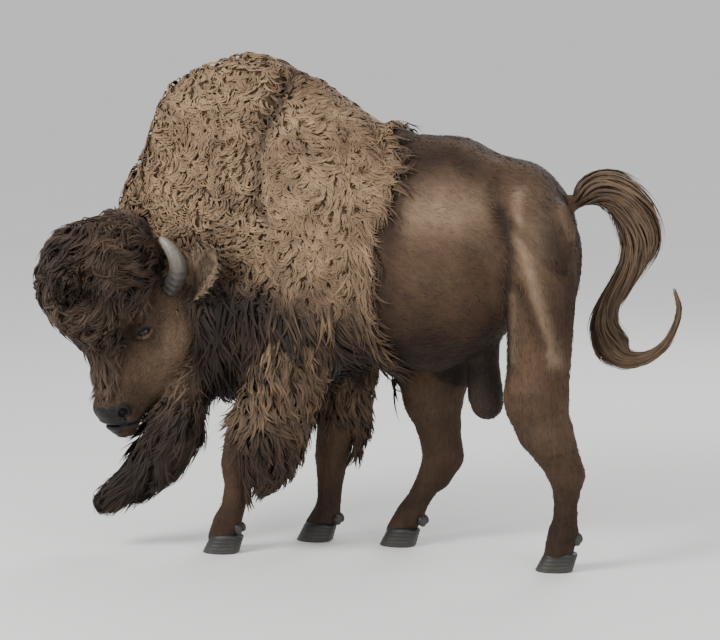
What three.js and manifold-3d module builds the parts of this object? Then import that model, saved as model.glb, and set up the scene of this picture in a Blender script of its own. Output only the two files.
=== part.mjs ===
// American bison bull, life size: a still model in a slow walk, head low and turned a little to its left.
// Millimetres, +Z up. The animal faces -X and its left side is toward -Y. The solids reach to the tips of
// the coat. Flesh and hair are one smooth field, meshed in parts and parted by thin straight cuts.
import * as THREE from "three";
import { mergeVertices } from "three/addons/utils/BufferGeometryUtils.js";
import Module from "manifold-3d";

const wasm = await Module();
wasm.setup();

// ---------------------------------------------------------------- driving dimensions

const GAP = 0.4; // between two parts that meet
const COARSE = 96; // mesh cell on the trunk
const MEDIUM = 68; // mesh cell on the thighs and the bonnet
const FINE = 54; // mesh cell on the head
const SIDES = [
  { name: "left", sign: -1 },
  { name: "right", sign: 1 },
];

// Trunk and neck: profiles along X, each a list of [x, value] knots.
const BACK_LINE = [
  [-770, 1250], [-735, 1362], [-660, 1525], [-620, 1640], [-572, 1724], [-480, 1776], [-300, 1830],
  [-140, 1790], [0, 1714], [120, 1626], [240, 1551], [330, 1521], [470, 1517], [626, 1452], [740, 1426],
  [800, 1384], [860, 1304], [900, 1170],
];
const BELLY_LINE = [
  [-770, 1120], [-680, 860], [-580, 640], [-460, 525], [-300, 520], [-140, 570], [0, 600], [140, 662],
  [240, 690], [330, 672], [400, 664], [480, 698], [560, 735], [660, 820], [800, 900], [900, 950],
];
const HALF_WIDTH = [
  [-770, 80], [-680, 122], [-570, 168], [-440, 218], [-300, 278], [-140, 332], [60, 352], [240, 338],
  [400, 326], [540, 300], [640, 262], [760, 240], [850, 190], [900, 115],
];
const WIDEST_LEVEL = [
  [-770, 1200], [-660, 1110], [-500, 1020], [-100, 985], [400, 1030], [640, 1110], [900, 1110],
];
const UPPER_POWER = [[-770, 2], [0, 2], [260, 2.15], [900, 2.25]];
const CENTRE_Y = [[-770, -165], [-660, -125], [-540, -70], [-400, -25], [-260, 0], [900, 0]];
const LOWER_POWER = 2;

// Head: turned and dropped from the poll, sized along n (to the nose), l (its left) and d (out of the forehead).
const POLL = new THREE.Vector3(-682, -191, 1076);
const HEAD_YAW = THREE.MathUtils.degToRad(39);
const HEAD_PITCH = THREE.MathUtils.degToRad(75);
const EYE = { n: 249, l: 138, d: -56, radius: 24, socket: 27 };
const HORN = {
  base: [78, 128, -118], bulge: [-12, 210, -92], tip: [-90, 168, -18],
  radius: 30, point: 4, rings: 7, sides: 8,
};
const EAR = {
  base: [104, 140, -186], tip: [-92, 335, -158], facing: [0.22, 0.55, 0.85],
  width: 58, flatten: 3, rings: 6, sides: 10,
  scoop: { at: 0.52, forward: 22, size: [98, 42, 20], sides: 10 },
};

// Legs: [x, |y|, z, radius] down each leg, left and right set apart by the stride.
const FORE_LEGS = {
  left: {
    sleeve: [[-70, 200, 790, 130], [-95, 204, 680, 150], [-148, 203, 545, 153], [-195, 196, 420, 170],
      [-216, 188, 310, 184], [-222, 184, 245, 182]],
    shin: [[-262, 190, 430, 80], [-296, 185, 335, 64], [-304, 172, 250, 48], [-322, 162, 165, 46],
      [-346, 156, 112, 54], [-372, 151, 40, 50]],
    hoof: { x: -372, y: 152, turn: 4, dew: [-300, 92] },
  },
  right: {
    sleeve: [[18, 188, 790, 120], [14, 184, 680, 132], [4, 172, 545, 122], [2, 160, 440, 112],
      [8, 152, 385, 116], [12, 148, 350, 112]],
    shin: [[-14, 155, 430, 78], [-32, 144, 315, 67], [-36, 134, 220, 51], [-38, 128, 150, 47],
      [-46, 122, 102, 53], [-80, 118, 40, 50]],
    hoof: { x: -92, y: 118, turn: -3, dew: [0, 84] },
  },
};
const HIND_LEGS = {
  left: {
    thigh: [[785, 150, 1195, 128], [800, 165, 980, 126], [797, 182, 760, 116], [788, 188, 610, 112]],
    shank: [[790, 188, 625, 112], [812, 188, 510, 97], [862, 184, 412, 68], [900, 178, 352, 58],
      [897, 172, 290, 45]],
    hockTop: 430,
    hock: [[838, 186, 490, 92], [858, 185, 450, 80], [886, 182, 394, 66], [897, 179, 350, 67],
      [896, 172, 290, 46], [893, 166, 240, 44], [891, 160, 185, 46], [885, 155, 140, 57], [860, 146, 40, 52]],
    hoof: { x: 850, y: 142, turn: 6, dew: [932, 116] },
  },
  right: {
    thigh: [[722, 145, 1180, 120], [612, 172, 990, 142], [430, 190, 790, 140], [342, 188, 640, 134]],
    shank: [[342, 188, 650, 134], [342, 180, 545, 118], [364, 168, 452, 84], [388, 154, 335, 73],
      [360, 144, 262, 60]],
    hockTop: 420,
    hock: [[350, 180, 500, 100], [361, 176, 455, 86], [371, 168, 400, 71], [386, 158, 330, 76],
      [362, 148, 272, 62], [330, 138, 225, 49], [300, 130, 170, 45], [272, 122, 118, 54], [228, 112, 40, 52]],
    hoof: { x: 226, y: 112, turn: -5, dew: [322, 96] },
  },
};
const SLEEVE = { flatten: 1.35, top: 430, rings: 6, locks: 10, drop: 40, swell: 0.09 };
const SHIN_SHAPE = { rings: 9, sides: 10, flatten: 1.12 };
const CLAW = { length: 132, width: 52, height: 72, split: 5, taper: 0.13, lean: 28, steps: 8 };
const DEWCLAW = { depth: 15, width: 12, height: 20, spread: 24, tilt: -0.5 };
const SCROTUM = [[560, 4, 780, 66], [562, 6, 700, 62], [572, 4, 590, 68], [578, 2, 560, 62]];

// Tail, beard and the tail's last curl: [x, y, z, radius] along the middle line of each.
const TAIL = [
  [850, 0, 1268, 34], [890, -2, 1290, 30], [942, -8, 1330, 54], [995, -14, 1339, 65], [1056, -20, 1310, 66],
  [1103, -24, 1246, 70], [1121, -22, 1168, 68], [1097, -14, 1082, 46], [1055, -4, 1004, 38],
  [1013, 6, 936, 36], [997, 12, 856, 47], [1022, 14, 784, 55], [1082, 10, 740, 34],
];
const TAIL_LENGTHS = { root: [0, 0.1], arch: [0.1, 0.47], drop: [0.47, 0.7], tuft: [0.7, 1] };
const TAIL_SHAPE = { flatten: 1.55, sides: 8, spacing: 62 };
const WISP = [
  [1092, 10, 736, 26], [1150, 4, 748, 19], [1206, 0, 790, 14], [1240, -4, 850, 11], [1258, -6, 925, 9],
  [1236, -8, 1000, 6],
];
const BEARD = [
  [-470, -140, 640, 80], [-508, -152, 545, 100], [-562, -170, 440, 124], [-622, -186, 345, 112],
  [-700, -200, 245, 86], [-775, -212, 186, 40], [-834, -220, 142, 8],
];
const BEARD_SHAPE = { flatten: 1.25, sides: 12, rings: 12 };
const WISP_SHAPE = { flatten: 1.3, sides: 6, rings: 9 };
const WHOLE = 3000; // reaches past the animal on every side
const ACROSS = new THREE.Vector3(0, 1, 0); // the animal's width

// ---------------------------------------------------------------- fields: negative inside, in millimetres

const vec = (p) => new THREE.Vector3(p[0], p[1], p[2]);

// A smooth curve through [x, value] knots, with flat ends (Fritsch-Carlson slopes, so it never overshoots).
function profile(knots) {
  const slopes = knots.slice(1).map((k, i) => (k[1] - knots[i][1]) / (k[0] - knots[i][0]));
  const tangents = knots.map((_, i) => {
    const [before, after] = [slopes[i - 1] ?? slopes[0], slopes[i] ?? slopes.at(-1)];
    return before * after <= 0 ? 0 : (2 * before * after) / (before + after);
  });
  return (x) => {
    const inside = THREE.MathUtils.clamp(x, knots[0][0], knots.at(-1)[0]);
    let i = 0;
    while (i < knots.length - 2 && inside > knots[i + 1][0]) i++;
    const span = knots[i + 1][0] - knots[i][0];
    const t = (inside - knots[i][0]) / span;
    const bend = (1 - t) * (1 - t) * tangents[i] * span * t - t * t * tangents[i + 1] * span * (1 - t);
    return knots[i][1] * (1 + 2 * t) * (1 - t) ** 2 + knots[i + 1][1] * t * t * (3 - 2 * t) + bend;
  };
}

// The lesser of two distances, with the corner between them filled over a width k.
function blend(a, b, k) {
  const h = Math.max(k - Math.abs(a - b), 0);
  return Math.min(a, b) - (h * h) / (4 * k);
}

// A ball, wide in each axis as its radii say.
function ellipsoid(centre, radii, turn = new THREE.Matrix4()) {
  const back = turn.clone().setPosition(centre).invert();
  const size = vec(radii);
  const local = new THREE.Vector3();
  return (p) => {
    local.copy(p).applyMatrix4(back).divide(size);
    const reach = local.length();
    const slope = local.divide(size).length();
    return slope > 1e-9 ? (reach * (reach - 1)) / slope : -Math.min(...radii);
  };
}

// A chain of tapered rods through [x, y, z, radius] points. A flatten above 1 makes it thinner across Y.
function chain(points, flatten = 1) {
  const links = points.slice(1).map((b, i) => {
    const [start, along] = [vec(points[i]), vec(b).sub(vec(points[i]))];
    return { start, along, length: along.lengthSq(), r0: points[i][3], r1: b[3] };
  });
  const offset = new THREE.Vector3();
  return (p) => {
    let nearest = Infinity;
    for (const { start, along, length, r0, r1 } of links) {
      offset.subVectors(p, start);
      const t = THREE.MathUtils.clamp(offset.dot(along) / length, 0, 1);
      offset.addScaledVector(along, -t);
      offset.y *= flatten;
      nearest = Math.min(nearest, offset.length() - (r0 + (r1 - r0) * t));
    }
    return nearest;
  };
}

// The trunk and neck: an egg-shaped section that changes along X as the profiles say.
function trunkField() {
  const [top, bottom, width] = [profile(BACK_LINE), profile(BELLY_LINE), profile(HALF_WIDTH)];
  const [level, power, centre] = [profile(WIDEST_LEVEL), profile(UPPER_POWER), profile(CENTRE_Y)];
  const [front, rear] = [BACK_LINE[0][0], BACK_LINE.at(-1)[0]];
  const radial = (x, y, z) => {
    const [dy, dz] = [y - centre(x), z - level(x)];
    const reach = Math.hypot(dy, dz) + 1e-6;
    const height = dz > 0 ? top(x) - level(x) : level(x) - bottom(x);
    const n = dz > 0 ? power(x) : LOWER_POWER;
    const share = (Math.abs(dy) / reach / width(x)) ** n + (Math.abs(dz) / reach / height) ** n;
    return reach - share ** (-1 / n);
  };
  const step = 4;
  return (p) => {
    const x = THREE.MathUtils.clamp(p.x, front, rear);
    const side = radial(x, p.y, p.z);
    const ahead = (radial(x + step, p.y, p.z) - side) / step;
    const slant = (radial(x, p.y, p.z + step) - side) / step;
    const across = (radial(x, p.y + step, p.z) - side) / step;
    const level = side / Math.max(1, Math.hypot(ahead, slant, across));
    const past = Math.abs(p.x - x);
    return past > 0 ? Math.hypot(Math.max(level, 0), past) : level;
  };
}

// The head's own axes: a matrix that takes [n, l, d] to the animal's frame.
const headFrame = (() => {
  const [cy, sy] = [Math.cos(HEAD_YAW), Math.sin(HEAD_YAW)];
  const [cp, sp] = [Math.cos(HEAD_PITCH), Math.sin(HEAD_PITCH)];
  const toNose = new THREE.Vector3(-cy * cp, -sy * cp, -sp);
  const toLeft = new THREE.Vector3(sy, -cy, 0);
  const outward = new THREE.Vector3(-cy * sp, -sy * sp, cp);
  return new THREE.Matrix4().makeBasis(toNose, toLeft, outward).setPosition(POLL);
})();
const headPoint = (p) => vec(p).applyMatrix4(headFrame);
const headAxis = (p) => headPoint(p).sub(POLL);
const mirrored = (p, sign) => [p[0], -sign * p[1], p[2], ...p.slice(3)];

// A chain and an ellipsoid given in the head's axes.
function headChain(points) {
  return chain(points.map((p) => [...headPoint(p), p[3]]));
}
function headBall(centre, radii) {
  return ellipsoid(headPoint(centre), radii, headFrame);
}

// Skull, face, muzzle and jaw under their hair.
function headField() {
  const cranium = headBall([105, 0, -128], [150, 150, 128]);
  const face = headChain([[150, 0, -125, 128], [330, 0, -98, 98], [480, 0, -72, 78], [548, 0, -74, 70]]);
  const nose = headBall([556, 0, -58], [46, 80, 64]);
  const lips = headBall([602, 0, -108], [46, 58, 58]);
  const jaw = headChain([[205, 0, -235, 92], [330, 0, -205, 84], [500, 0, -146, 58], [568, 0, -130, 42]]);
  const cheeks = SIDES.map((s) => headBall(mirrored([225, 78, -205], s.sign), [135, 78, 92]));
  const brows = SIDES.map((s) => headBall(mirrored([222, 116, -62], s.sign), [62, 42, 46]));
  return (p) => {
    let d = blend(blend(cranium(p), face(p), 60), jaw(p), 60);
    for (const cheek of cheeks) d = blend(d, cheek(p), 50);
    for (const brow of brows) d = blend(d, brow(p), 30);
    return blend(blend(d, nose(p), 26), lips(p), 26);
  };
}

// The bonnet of long curls on the brow, with rows of locks, and its fringe down the bridge of the nose.
function forelockField() {
  const ball = headBall([112, 0, 118], [236, 214, 244]);
  const crown = headBall([-20, 0, 20], [140, 160, 150]);
  const fringe = headChain([[250, 0, 60, 150], [360, 0, 10, 92], [450, 0, 6, 58], [492, 0, 2, 34]]);
  const local = new THREE.Vector3();
  const inverse = headFrame.clone().invert();
  return (p) => {
    local.copy(p).applyMatrix4(inverse);
    const rows = 9 * Math.sin(local.x / 23) * Math.cos(local.y / 29);
    const locks = rows + 6 * Math.sin((local.z + local.x) / 17);
    return blend(blend(ball(p), crown(p), 70), fringe(p), 70) - locks;
  };
}

const flesh = { trunk: trunkField(), head: headField(), forelock: forelockField() };
const scrotum = chain(SCROTUM, 1.15);
const haunches = SIDES.map(({ name, sign }) => {
  const [fore, hind] = [FORE_LEGS[name], HIND_LEGS[name]];
  return {
    shoulder: chain(fore.sleeve.slice(0, 5).map((p) => mirrored(p, -sign)), SLEEVE.flatten),
    thigh: chain(hind.thigh.map((p) => mirrored(p, -sign)), 1.12),
    shank: chain(hind.shank.map((p) => mirrored(p, -sign)), 1.1),
  };
});

// Trunk and neck with the tops of the legs.
function trunkWithHaunches(p) {
  return haunches.reduce((d, leg) => blend(blend(d, leg.thigh(p), 55), leg.shoulder(p), 50), flesh.trunk(p));
}

// The trunk with hind legs, head and bonnet, without what is made as a solid along a curve.
function bodyField(p) {
  let d = trunkWithHaunches(p);
  for (const leg of haunches) d = blend(d, leg.shank(p), 34);
  d = blend(d, scrotum(p), 24);
  d = blend(d, flesh.head(p), 60);
  return blend(d, flesh.forelock(p), 40);
}

// ---------------------------------------------------------------- meshing

// The closed surface where a field is zero, inside a box: one corner in each crossed cell, pulled onto it.
function fieldSolid(field, box, cell) {
  const room = box.clone().expandByScalar(cell * 2.5);
  const size = room.getSize(new THREE.Vector3());
  const n = [size.x, size.y, size.z].map((s) => Math.ceil(s / cell) + 1);
  const at = (i, j, k) => i + n[0] * (j + n[1] * k);
  const inner = box.clone().expandByScalar(cell * 0.9);
  const point = new THREE.Vector3();
  const bounded = (p) => Math.max(field(p), boxDistance(p, inner));
  const values = new Float64Array(n[0] * n[1] * n[2]);
  for (let k = 0; k < n[2]; k++)
    for (let j = 0; j < n[1]; j++)
      for (let i = 0; i < n[0]; i++) {
        point.set(room.min.x + i * cell, room.min.y + j * cell, room.min.z + k * cell);
        values[at(i, j, k)] = bounded(point);
      }
  settle(values, n, at);
  const corners = [];
  const owner = new Map();
  for (let k = 0; k < n[2] - 1; k++)
    for (let j = 0; j < n[1] - 1; j++)
      for (let i = 0; i < n[0] - 1; i++) {
        const place = cellCorner(values, at, i, j, k);
        if (!place) continue;
        owner.set(at(i, j, k), corners.length);
        place.multiplyScalar(cell).add(room.min);
        corners.push(pulledOnto(bounded, place, cell));
      }
  const faces = cellFaces(values, owner, n, at);
  for (let round = 0; round < 3; round++) relax(corners, faces, bounded, cell);
  return solidFrom(corners, faces);
}

// Where two corners of a grid square are in and the two between them are out, one of those is taken in, until
// none is left, so that each edge of the surface has two faces.
function settle(values, n, at) {
  const steps = [1, n[0], n[0] * n[1]];
  for (let changed = true; changed; ) {
    changed = false;
    for (let k = 0; k < n[2] - 1; k++)
      for (let j = 0; j < n[1] - 1; j++)
        for (let i = 0; i < n[0] - 1; i++)
          for (let axis = 0; axis < 3; axis++) {
            const [a, u, v] = [at(i, j, k), steps[(axis + 1) % 3], steps[(axis + 2) % 3]];
            const inside = [a, a + u, a + u + v, a + v].map((c) => values[c] < 0);
            if (inside[0] !== inside[2] || inside[1] !== inside[3] || inside[0] === inside[1]) continue;
            values[inside[0] ? a + u : a] = -1e-3;
            changed = true;
          }
  }
}

// How far a point is outside a box, negative inside.
function boxDistance(p, box) {
  const beyond = ["x", "y", "z"].map((k) => Math.max(box.min[k] - p[k], p[k] - box.max[k]));
  return Math.hypot(...beyond.map((b) => Math.max(b, 0))) + Math.min(Math.max(...beyond), 0);
}

// The mean of the points where a cell's edges cross zero, in cells, or null where none does.
function cellCorner(values, at, i, j, k) {
  const sum = new THREE.Vector3();
  let crossings = 0;
  for (const [a, b] of CELL_EDGES) {
    const [va, vb] = [a, b].map((c) => values[at(i + (c & 1), j + ((c >> 1) & 1), k + (c >> 2))]);
    if (va < 0 === vb < 0) continue;
    const t = va / (va - vb);
    const mix = (bit) => ((a >> bit) & 1) * (1 - t) + ((b >> bit) & 1) * t;
    sum.add(new THREE.Vector3(i + mix(0), j + mix(1), k + mix(2)));
    crossings++;
  }
  return crossings ? sum.divideScalar(crossings) : null;
}
const CELL_CORNERS = [0, 1, 2, 3, 4, 5, 6, 7];
const CELL_EDGES = CELL_CORNERS.flatMap((c) => [1, 2, 4].filter((b) => !(c & b)).map((b) => [c, c | b]));

// Moves each corner halfway to the middle of its neighbours and back onto the surface, which evens the faces.
function relax(corners, faces, field, cell) {
  const sums = corners.map(() => ({ total: new THREE.Vector3(), count: 0 }));
  for (let i = 0; i < faces.length; i += 3)
    for (let side = 0; side < 3; side++) {
      const [a, b] = [faces[i + side], faces[i + ((side + 1) % 3)]];
      sums[a].total.add(corners[b]);
      sums[a].count++;
    }
  sums.forEach(({ total, count }, i) => {
    if (count) corners[i] = pulledOnto(field, corners[i].clone().lerp(total.divideScalar(count), 0.5), cell);
  });
}

// Two Newton steps toward zero, each held within a third of a cell.
function pulledOnto(field, start, cell) {
  const place = start.clone();
  const step = new THREE.Vector3();
  const slope = new THREE.Vector3();
  const h = cell / 40;
  for (let round = 0; round < 2; round++) {
    const here = field(place);
    for (let axis = 0; axis < 3; axis++) {
      const beside = field(step.copy(place).setComponent(axis, place.getComponent(axis) + h));
      slope.setComponent(axis, (beside - here) / h);
    }
    const steep = Math.max(slope.lengthSq(), 0.2);
    place.addScaledVector(slope, THREE.MathUtils.clamp(-here / steep, -cell / 3, cell / 3));
  }
  return place;
}

// Two triangles across each grid edge that the surface crosses.
function cellFaces(values, owner, n, at) {
  const faces = [];
  const steps = [[1, 0, 0], [0, 1, 0], [0, 0, 1]];
  for (let k = 1; k < n[2] - 1; k++)
    for (let j = 1; j < n[1] - 1; j++)
      for (let i = 1; i < n[0] - 1; i++)
        for (let axis = 0; axis < 3; axis++) {
          const [dx, dy, dz] = steps[axis];
          const here = values[at(i, j, k)] < 0;
          if (here === values[at(i + dx, j + dy, k + dz)] < 0) continue;
          const [u, v] = [steps[(axis + 1) % 3], steps[(axis + 2) % 3]];
          const ring = [[0, 0], [1, 0], [1, 1], [0, 1]].map(([s, t]) =>
            owner.get(at(i - s * u[0] - t * v[0], j - s * u[1] - t * v[1], k - s * u[2] - t * v[2])),
          );
          if (!here) ring.reverse();
          faces.push(ring[0], ring[1], ring[2], ring[0], ring[2], ring[3]);
        }
  return faces;
}

function solidFrom(corners, faces) {
  const vertProperties = new Float32Array(corners.flatMap((c) => [c.x, c.y, c.z]));
  const triVerts = new Uint32Array(faces);
  const solid = new wasm.Manifold(new wasm.Mesh({ numProp: 3, vertProperties, triVerts }));
  if (solid.volume() < 0) throw new Error("a surface is inside out");
  return solid;
}

// A three.js geometry as a manifold solid, and back.
function solidOf(geometry) {
  const bare = geometry.clone();
  bare.deleteAttribute("normal");
  bare.deleteAttribute("uv");
  const merged = mergeVertices(bare, 1e-3);
  const triVerts = new Uint32Array(merged.index.array);
  const vertProperties = merged.attributes.position.array;
  return new wasm.Manifold(new wasm.Mesh({ numProp: 3, vertProperties, triVerts }));
}
function geometryOf(solid) {
  const { numProp, vertProperties, triVerts } = solid.getMesh();
  const position = new Float32Array((vertProperties.length / numProp) * 3);
  for (let i = 0; i < position.length; i++)
    position[i] = vertProperties[Math.floor(i / 3) * numProp + (i % 3)];
  const geometry = new THREE.BufferGeometry();
  geometry.setAttribute("position", new THREE.BufferAttribute(position, 3));
  geometry.setIndex(new THREE.BufferAttribute(triVerts, 1));
  return geometry;
}

// ---------------------------------------------------------------- knives

const UPRIGHT = new THREE.Matrix4();

// A box by its limits in a frame; solid(grow) is the same box, bigger all round by grow.
function knife(min, max, frame = UPRIGHT) {
  const box = new THREE.Box3(vec(min), vec(max));
  const [size, centre] = [box.getSize(new THREE.Vector3()), box.getCenter(new THREE.Vector3())];
  const shape = (grow) => {
    const geometry = new THREE.BoxGeometry(size.x + 2 * grow, size.y + 2 * grow, size.z + 2 * grow);
    return geometry.translate(centre.x, centre.y, centre.z).applyMatrix4(frame);
  };
  const reach = new THREE.Box3().setFromBufferAttribute(shape(0).attributes.position);
  return { reach, solid: (grow = 0) => solidOf(shape(grow)) };
}

// The frame of a slanted cut along the right thigh.
const thighFrame = new THREE.Matrix4().makeRotationY(THREE.MathUtils.degToRad(38)).setPosition(560, 0, 905);

// ---------------------------------------------------------------- hard parts

// A closed skin over rings of points, each ring the same length, with a fan at either end.
function loft(rings) {
  const count = rings[0].length;
  const centre = (ring) => ring.reduce((sum, p) => sum.add(p), new THREE.Vector3()).divideScalar(count);
  const corners = [...rings.flat(), centre(rings[0]), centre(rings.at(-1))];
  const [first, last, end] = [corners.length - 2, corners.length - 1, (rings.length - 1) * count];
  const faces = [];
  for (let i = 0; i < count; i++) {
    const next = (i + 1) % count;
    for (let r = 0; r < rings.length - 1; r++) {
      const [a, b] = [r * count + i, r * count + next];
      faces.push(a, b, b + count, a, b + count, a + count);
    }
    faces.push(next, i, first, end + i, end + next, last);
  }
  return solidFrom(corners, faces);
}

// A solid along a curve of rings: radius(t) across, and 1/flatten of that along the side axis. Ring(t, turn)
// may move a corner's radius and its place along the curve. Extra thickens and lengthens the whole.
function tube({ curve, radius, rings, sides, flatten = 1, axis = ACROSS, ring, extra = 0 }) {
  const loops = [];
  for (let i = 0; i <= rings; i++) {
    const t = i / rings;
    const tangent = curve.getTangent(t);
    const side = axis.clone().addScaledVector(tangent, -axis.dot(tangent)).normalize();
    const across = new THREE.Vector3().crossVectors(side, tangent);
    const loop = [];
    for (let s = 0; s < sides; s++) {
      const turn = (2 * Math.PI * s) / sides;
      const { swell = 1, drop = 0 } = ring ? ring(t, s) : {};
      const [wide, thin] = [radius(t) * swell + extra, (radius(t) * swell) / flatten + extra];
      const corner = curve.getPoint(t).addScaledVector(tangent, (2 * t - 1) * extra + drop);
      corner.addScaledVector(across, wide * Math.cos(turn)).addScaledVector(side, thin * Math.sin(turn));
      loop.push(corner);
    }
    loops.push(loop);
  }
  return loft(loops);
}

// A curve and its radius through [x, y, z, radius] points, or through the stretch of them from t0 to t1.
class Route extends THREE.Curve {
  constructor(points, t0 = 0, t1 = 1) {
    super();
    this.line = new THREE.CatmullRomCurve3(points.map(vec));
    this.widths = profile(points.map((p, i) => [i / (points.length - 1), p[3]]));
    [this.t0, this.t1] = [t0, t1];
  }
  share(t) {
    return this.t0 + (this.t1 - this.t0) * t;
  }
  getPoint(t) {
    return this.line.getPoint(this.share(t));
  }
  getTangent(t) {
    return this.line.getTangent(this.share(t));
  }
  radius(t) {
    return this.widths(this.share(t));
  }
}

// A solid along [x, y, z, radius] points.
function limb(points, { rings, sides, flatten, ring, extra }, t0, t1) {
  const curve = new Route(points, t0, t1);
  return tube({ curve, radius: (t) => curve.radius(t), rings, sides, flatten, ring, extra });
}

// Long hair round a foreleg: it hangs in a ring of pointed locks, every second corner a tip.
function sleeve(points) {
  const ring = (t, s) => {
    const tip = s % 2 ? 1 : -1;
    return { swell: 1 + SLEEVE.swell * tip * t ** 3, drop: SLEEVE.drop * tip * t ** 6 };
  };
  return limb(points, { rings: SLEEVE.rings, sides: 2 * SLEEVE.locks, flatten: SLEEVE.flatten, ring });
}

// One length of the tail, with a cut's gap at either end where another length follows.
function tailLength([t0, t1], extra = 0) {
  const length = new Route(TAIL, t0, t1).getLength();
  const trim = ((t1 - t0) * GAP) / length;
  return limb(TAIL, { ...TAIL_SHAPE, rings: Math.ceil(length / TAIL_SHAPE.spacing), extra }, t0, t1 - trim);
}

// A short thick horn: out to the side, up, and in again at the tip.
function horn(sign, extra = 0) {
  const [base, bulge, tip] = [HORN.base, HORN.bulge, HORN.tip].map((p) => headPoint(mirrored(p, sign)));
  const control = bulge.clone().multiplyScalar(2).sub(base.clone().add(tip).multiplyScalar(0.5));
  const curve = new THREE.QuadraticBezierCurve3(base, control, tip);
  const radius = (t) => HORN.radius * Math.sqrt(1 - t ** 2.2) + HORN.point;
  return tube({ curve, radius, rings: HORN.rings, sides: HORN.sides, axis: headAxis([0, 0, 1]), extra });
}

// A leaf-shaped ear, scooped out in front, its fringe of hair counted in its width. The flesh round its
// root is cut by the leaf without its scoop.
function earLeaf(sign, extra = 0) {
  const [base, tip] = [EAR.base, EAR.tip].map((p) => headPoint(mirrored(p, sign)));
  const swell = (t) => 0.45 + 0.55 * Math.sin(Math.PI * (0.12 + 0.6 * t));
  const radius = (t) => EAR.width * swell(t) * Math.sqrt(1 - 0.9 * t ** 5);
  const axis = headAxis(mirrored(EAR.facing, sign));
  const { rings, sides, flatten } = EAR;
  return tube({ curve: new THREE.LineCurve3(base, tip), radius, rings, sides, flatten, axis, extra });
}
function ear(sign) {
  const [base, tip] = [EAR.base, EAR.tip].map((p) => headPoint(mirrored(p, sign)));
  const along = tip.clone().sub(base);
  const facing = headAxis(mirrored(EAR.facing, sign));
  const open = facing.addScaledVector(along, -facing.dot(along) / along.lengthSq()).normalize();
  const across = new THREE.Vector3().crossVectors(along, open).normalize();
  const centre = base.clone().addScaledVector(along, EAR.scoop.at).addScaledVector(open, EAR.scoop.forward);
  const hollow = new THREE.SphereGeometry(1, EAR.scoop.sides, EAR.scoop.sides / 2).scale(...EAR.scoop.size);
  const frame = new THREE.Matrix4().makeBasis(along.normalize(), across, open.negate()).setPosition(centre);
  return earLeaf(sign).subtract(solidOf(hollow.applyMatrix4(frame)));
}

// One claw of a cloven hoof: flat below and on its inner side, its wall sloping back from the toe.
function claw(hoof, sign, side) {
  const rings = [0, 1].map((h) => {
    const ring = [];
    for (let i = 0; i <= CLAW.steps; i++) {
      const turn = (Math.PI * i) / CLAW.steps;
      const x = -Math.cos(turn) * (CLAW.length / 2) * (1 - CLAW.taper * h) + CLAW.lean * h;
      const y = CLAW.split / 2 + CLAW.width * Math.sin(turn) ** 0.75 * (1 - CLAW.taper * h);
      ring.unshift(new THREE.Vector3(x, y, CLAW.height * h));
    }
    return ring;
  });
  const shape = geometryOf(loft(rings)).scale(1, side, 1);
  if (side < 0) turnFaces(shape);
  shape.rotateZ(THREE.MathUtils.degToRad(hoof.turn));
  return solidOf(shape.translate(hoof.x, sign * hoof.y, 0));
}

// Turns a geometry's faces over, after a mirroring.
function turnFaces(geometry) {
  const index = geometry.index.array;
  for (let i = 0; i < index.length; i += 3) [index[i + 1], index[i + 2]] = [index[i + 2], index[i + 1]];
}

// A dewclaw: a small blunt nub behind the fetlock.
function dewclaw(hoof, sign, side, extra = 0) {
  const { depth, width, height, spread, tilt } = DEWCLAW;
  const nub = new THREE.SphereGeometry(1, 6, 4).rotateX(Math.PI / 2);
  nub.scale(depth + extra, width + extra, height + extra).rotateY(tilt);
  return solidOf(nub.translate(hoof.dew[0], sign * hoof.y + side * spread, hoof.dew[1]));
}

function eyeBall(sign, radius) {
  const centre = headPoint(mirrored([EYE.n, EYE.l, EYE.d], sign));
  return solidOf(new THREE.SphereGeometry(radius, 10, 7).translate(centre.x, centre.y, centre.z));
}

// ---------------------------------------------------------------- materials

const finish = (color, roughness) => new THREE.MeshStandardMaterial({ color, roughness, metalness: 0 });
const DARK_HAIR = finish(0x2a1d15, 0.9);
const WOOL = finish(0x7a5635, 0.95);
const SLEEK = finish(0x4a3323, 0.75);
const HORN_BLACK = finish(0x2b2622, 0.45);
const EYE_DARK = finish(0x120b08, 0.1);
const HOOF_BLACK = finish(0x1d1a18, 0.5);

// ---------------------------------------------------------------- assembly

const animal = new THREE.Group();
const body = new THREE.Group();
animal.add(body);
function addNode(name, solid, material) {
  const mesh = new THREE.Mesh(geometryOf(solid), material);
  mesh.name = name;
  body.add(mesh);
}

// Hard parts first: what they clear is cut from the flesh around them.
const clearances = [];
function cleared(solid) {
  const parts = clearances.reduce((rest, other) => rest.subtract(other), solid).decompose();
  return parts.reduce((best, part) => (part.volume() > best.volume() ? part : best));
}
for (const { name, sign } of SIDES) {
  addNode(`horn_${name}`, horn(sign), HORN_BLACK);
  addNode(`ear_${name}`, ear(sign).subtract(horn(sign, GAP)), DARK_HAIR);
  addNode(`eye_${name}`, eyeBall(sign, EYE.radius), EYE_DARK);
  clearances.push(horn(sign, GAP), earLeaf(sign, GAP), eyeBall(sign, EYE.socket));
  for (const [leg, { hoof }] of [["fore", FORE_LEGS[name]], ["hind", HIND_LEGS[name]]])
    for (const [place, side] of [["outer", sign], ["inner", -sign]]) {
      addNode(`claw_${leg}_${name}_${place}`, claw(hoof, sign, side), HOOF_BLACK);
      addNode(`dewclaw_${leg}_${name}_${place}`, dewclaw(hoof, sign, side), HOOF_BLACK);
      clearances.push(dewclaw(hoof, sign, side, GAP));
    }
}

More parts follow.
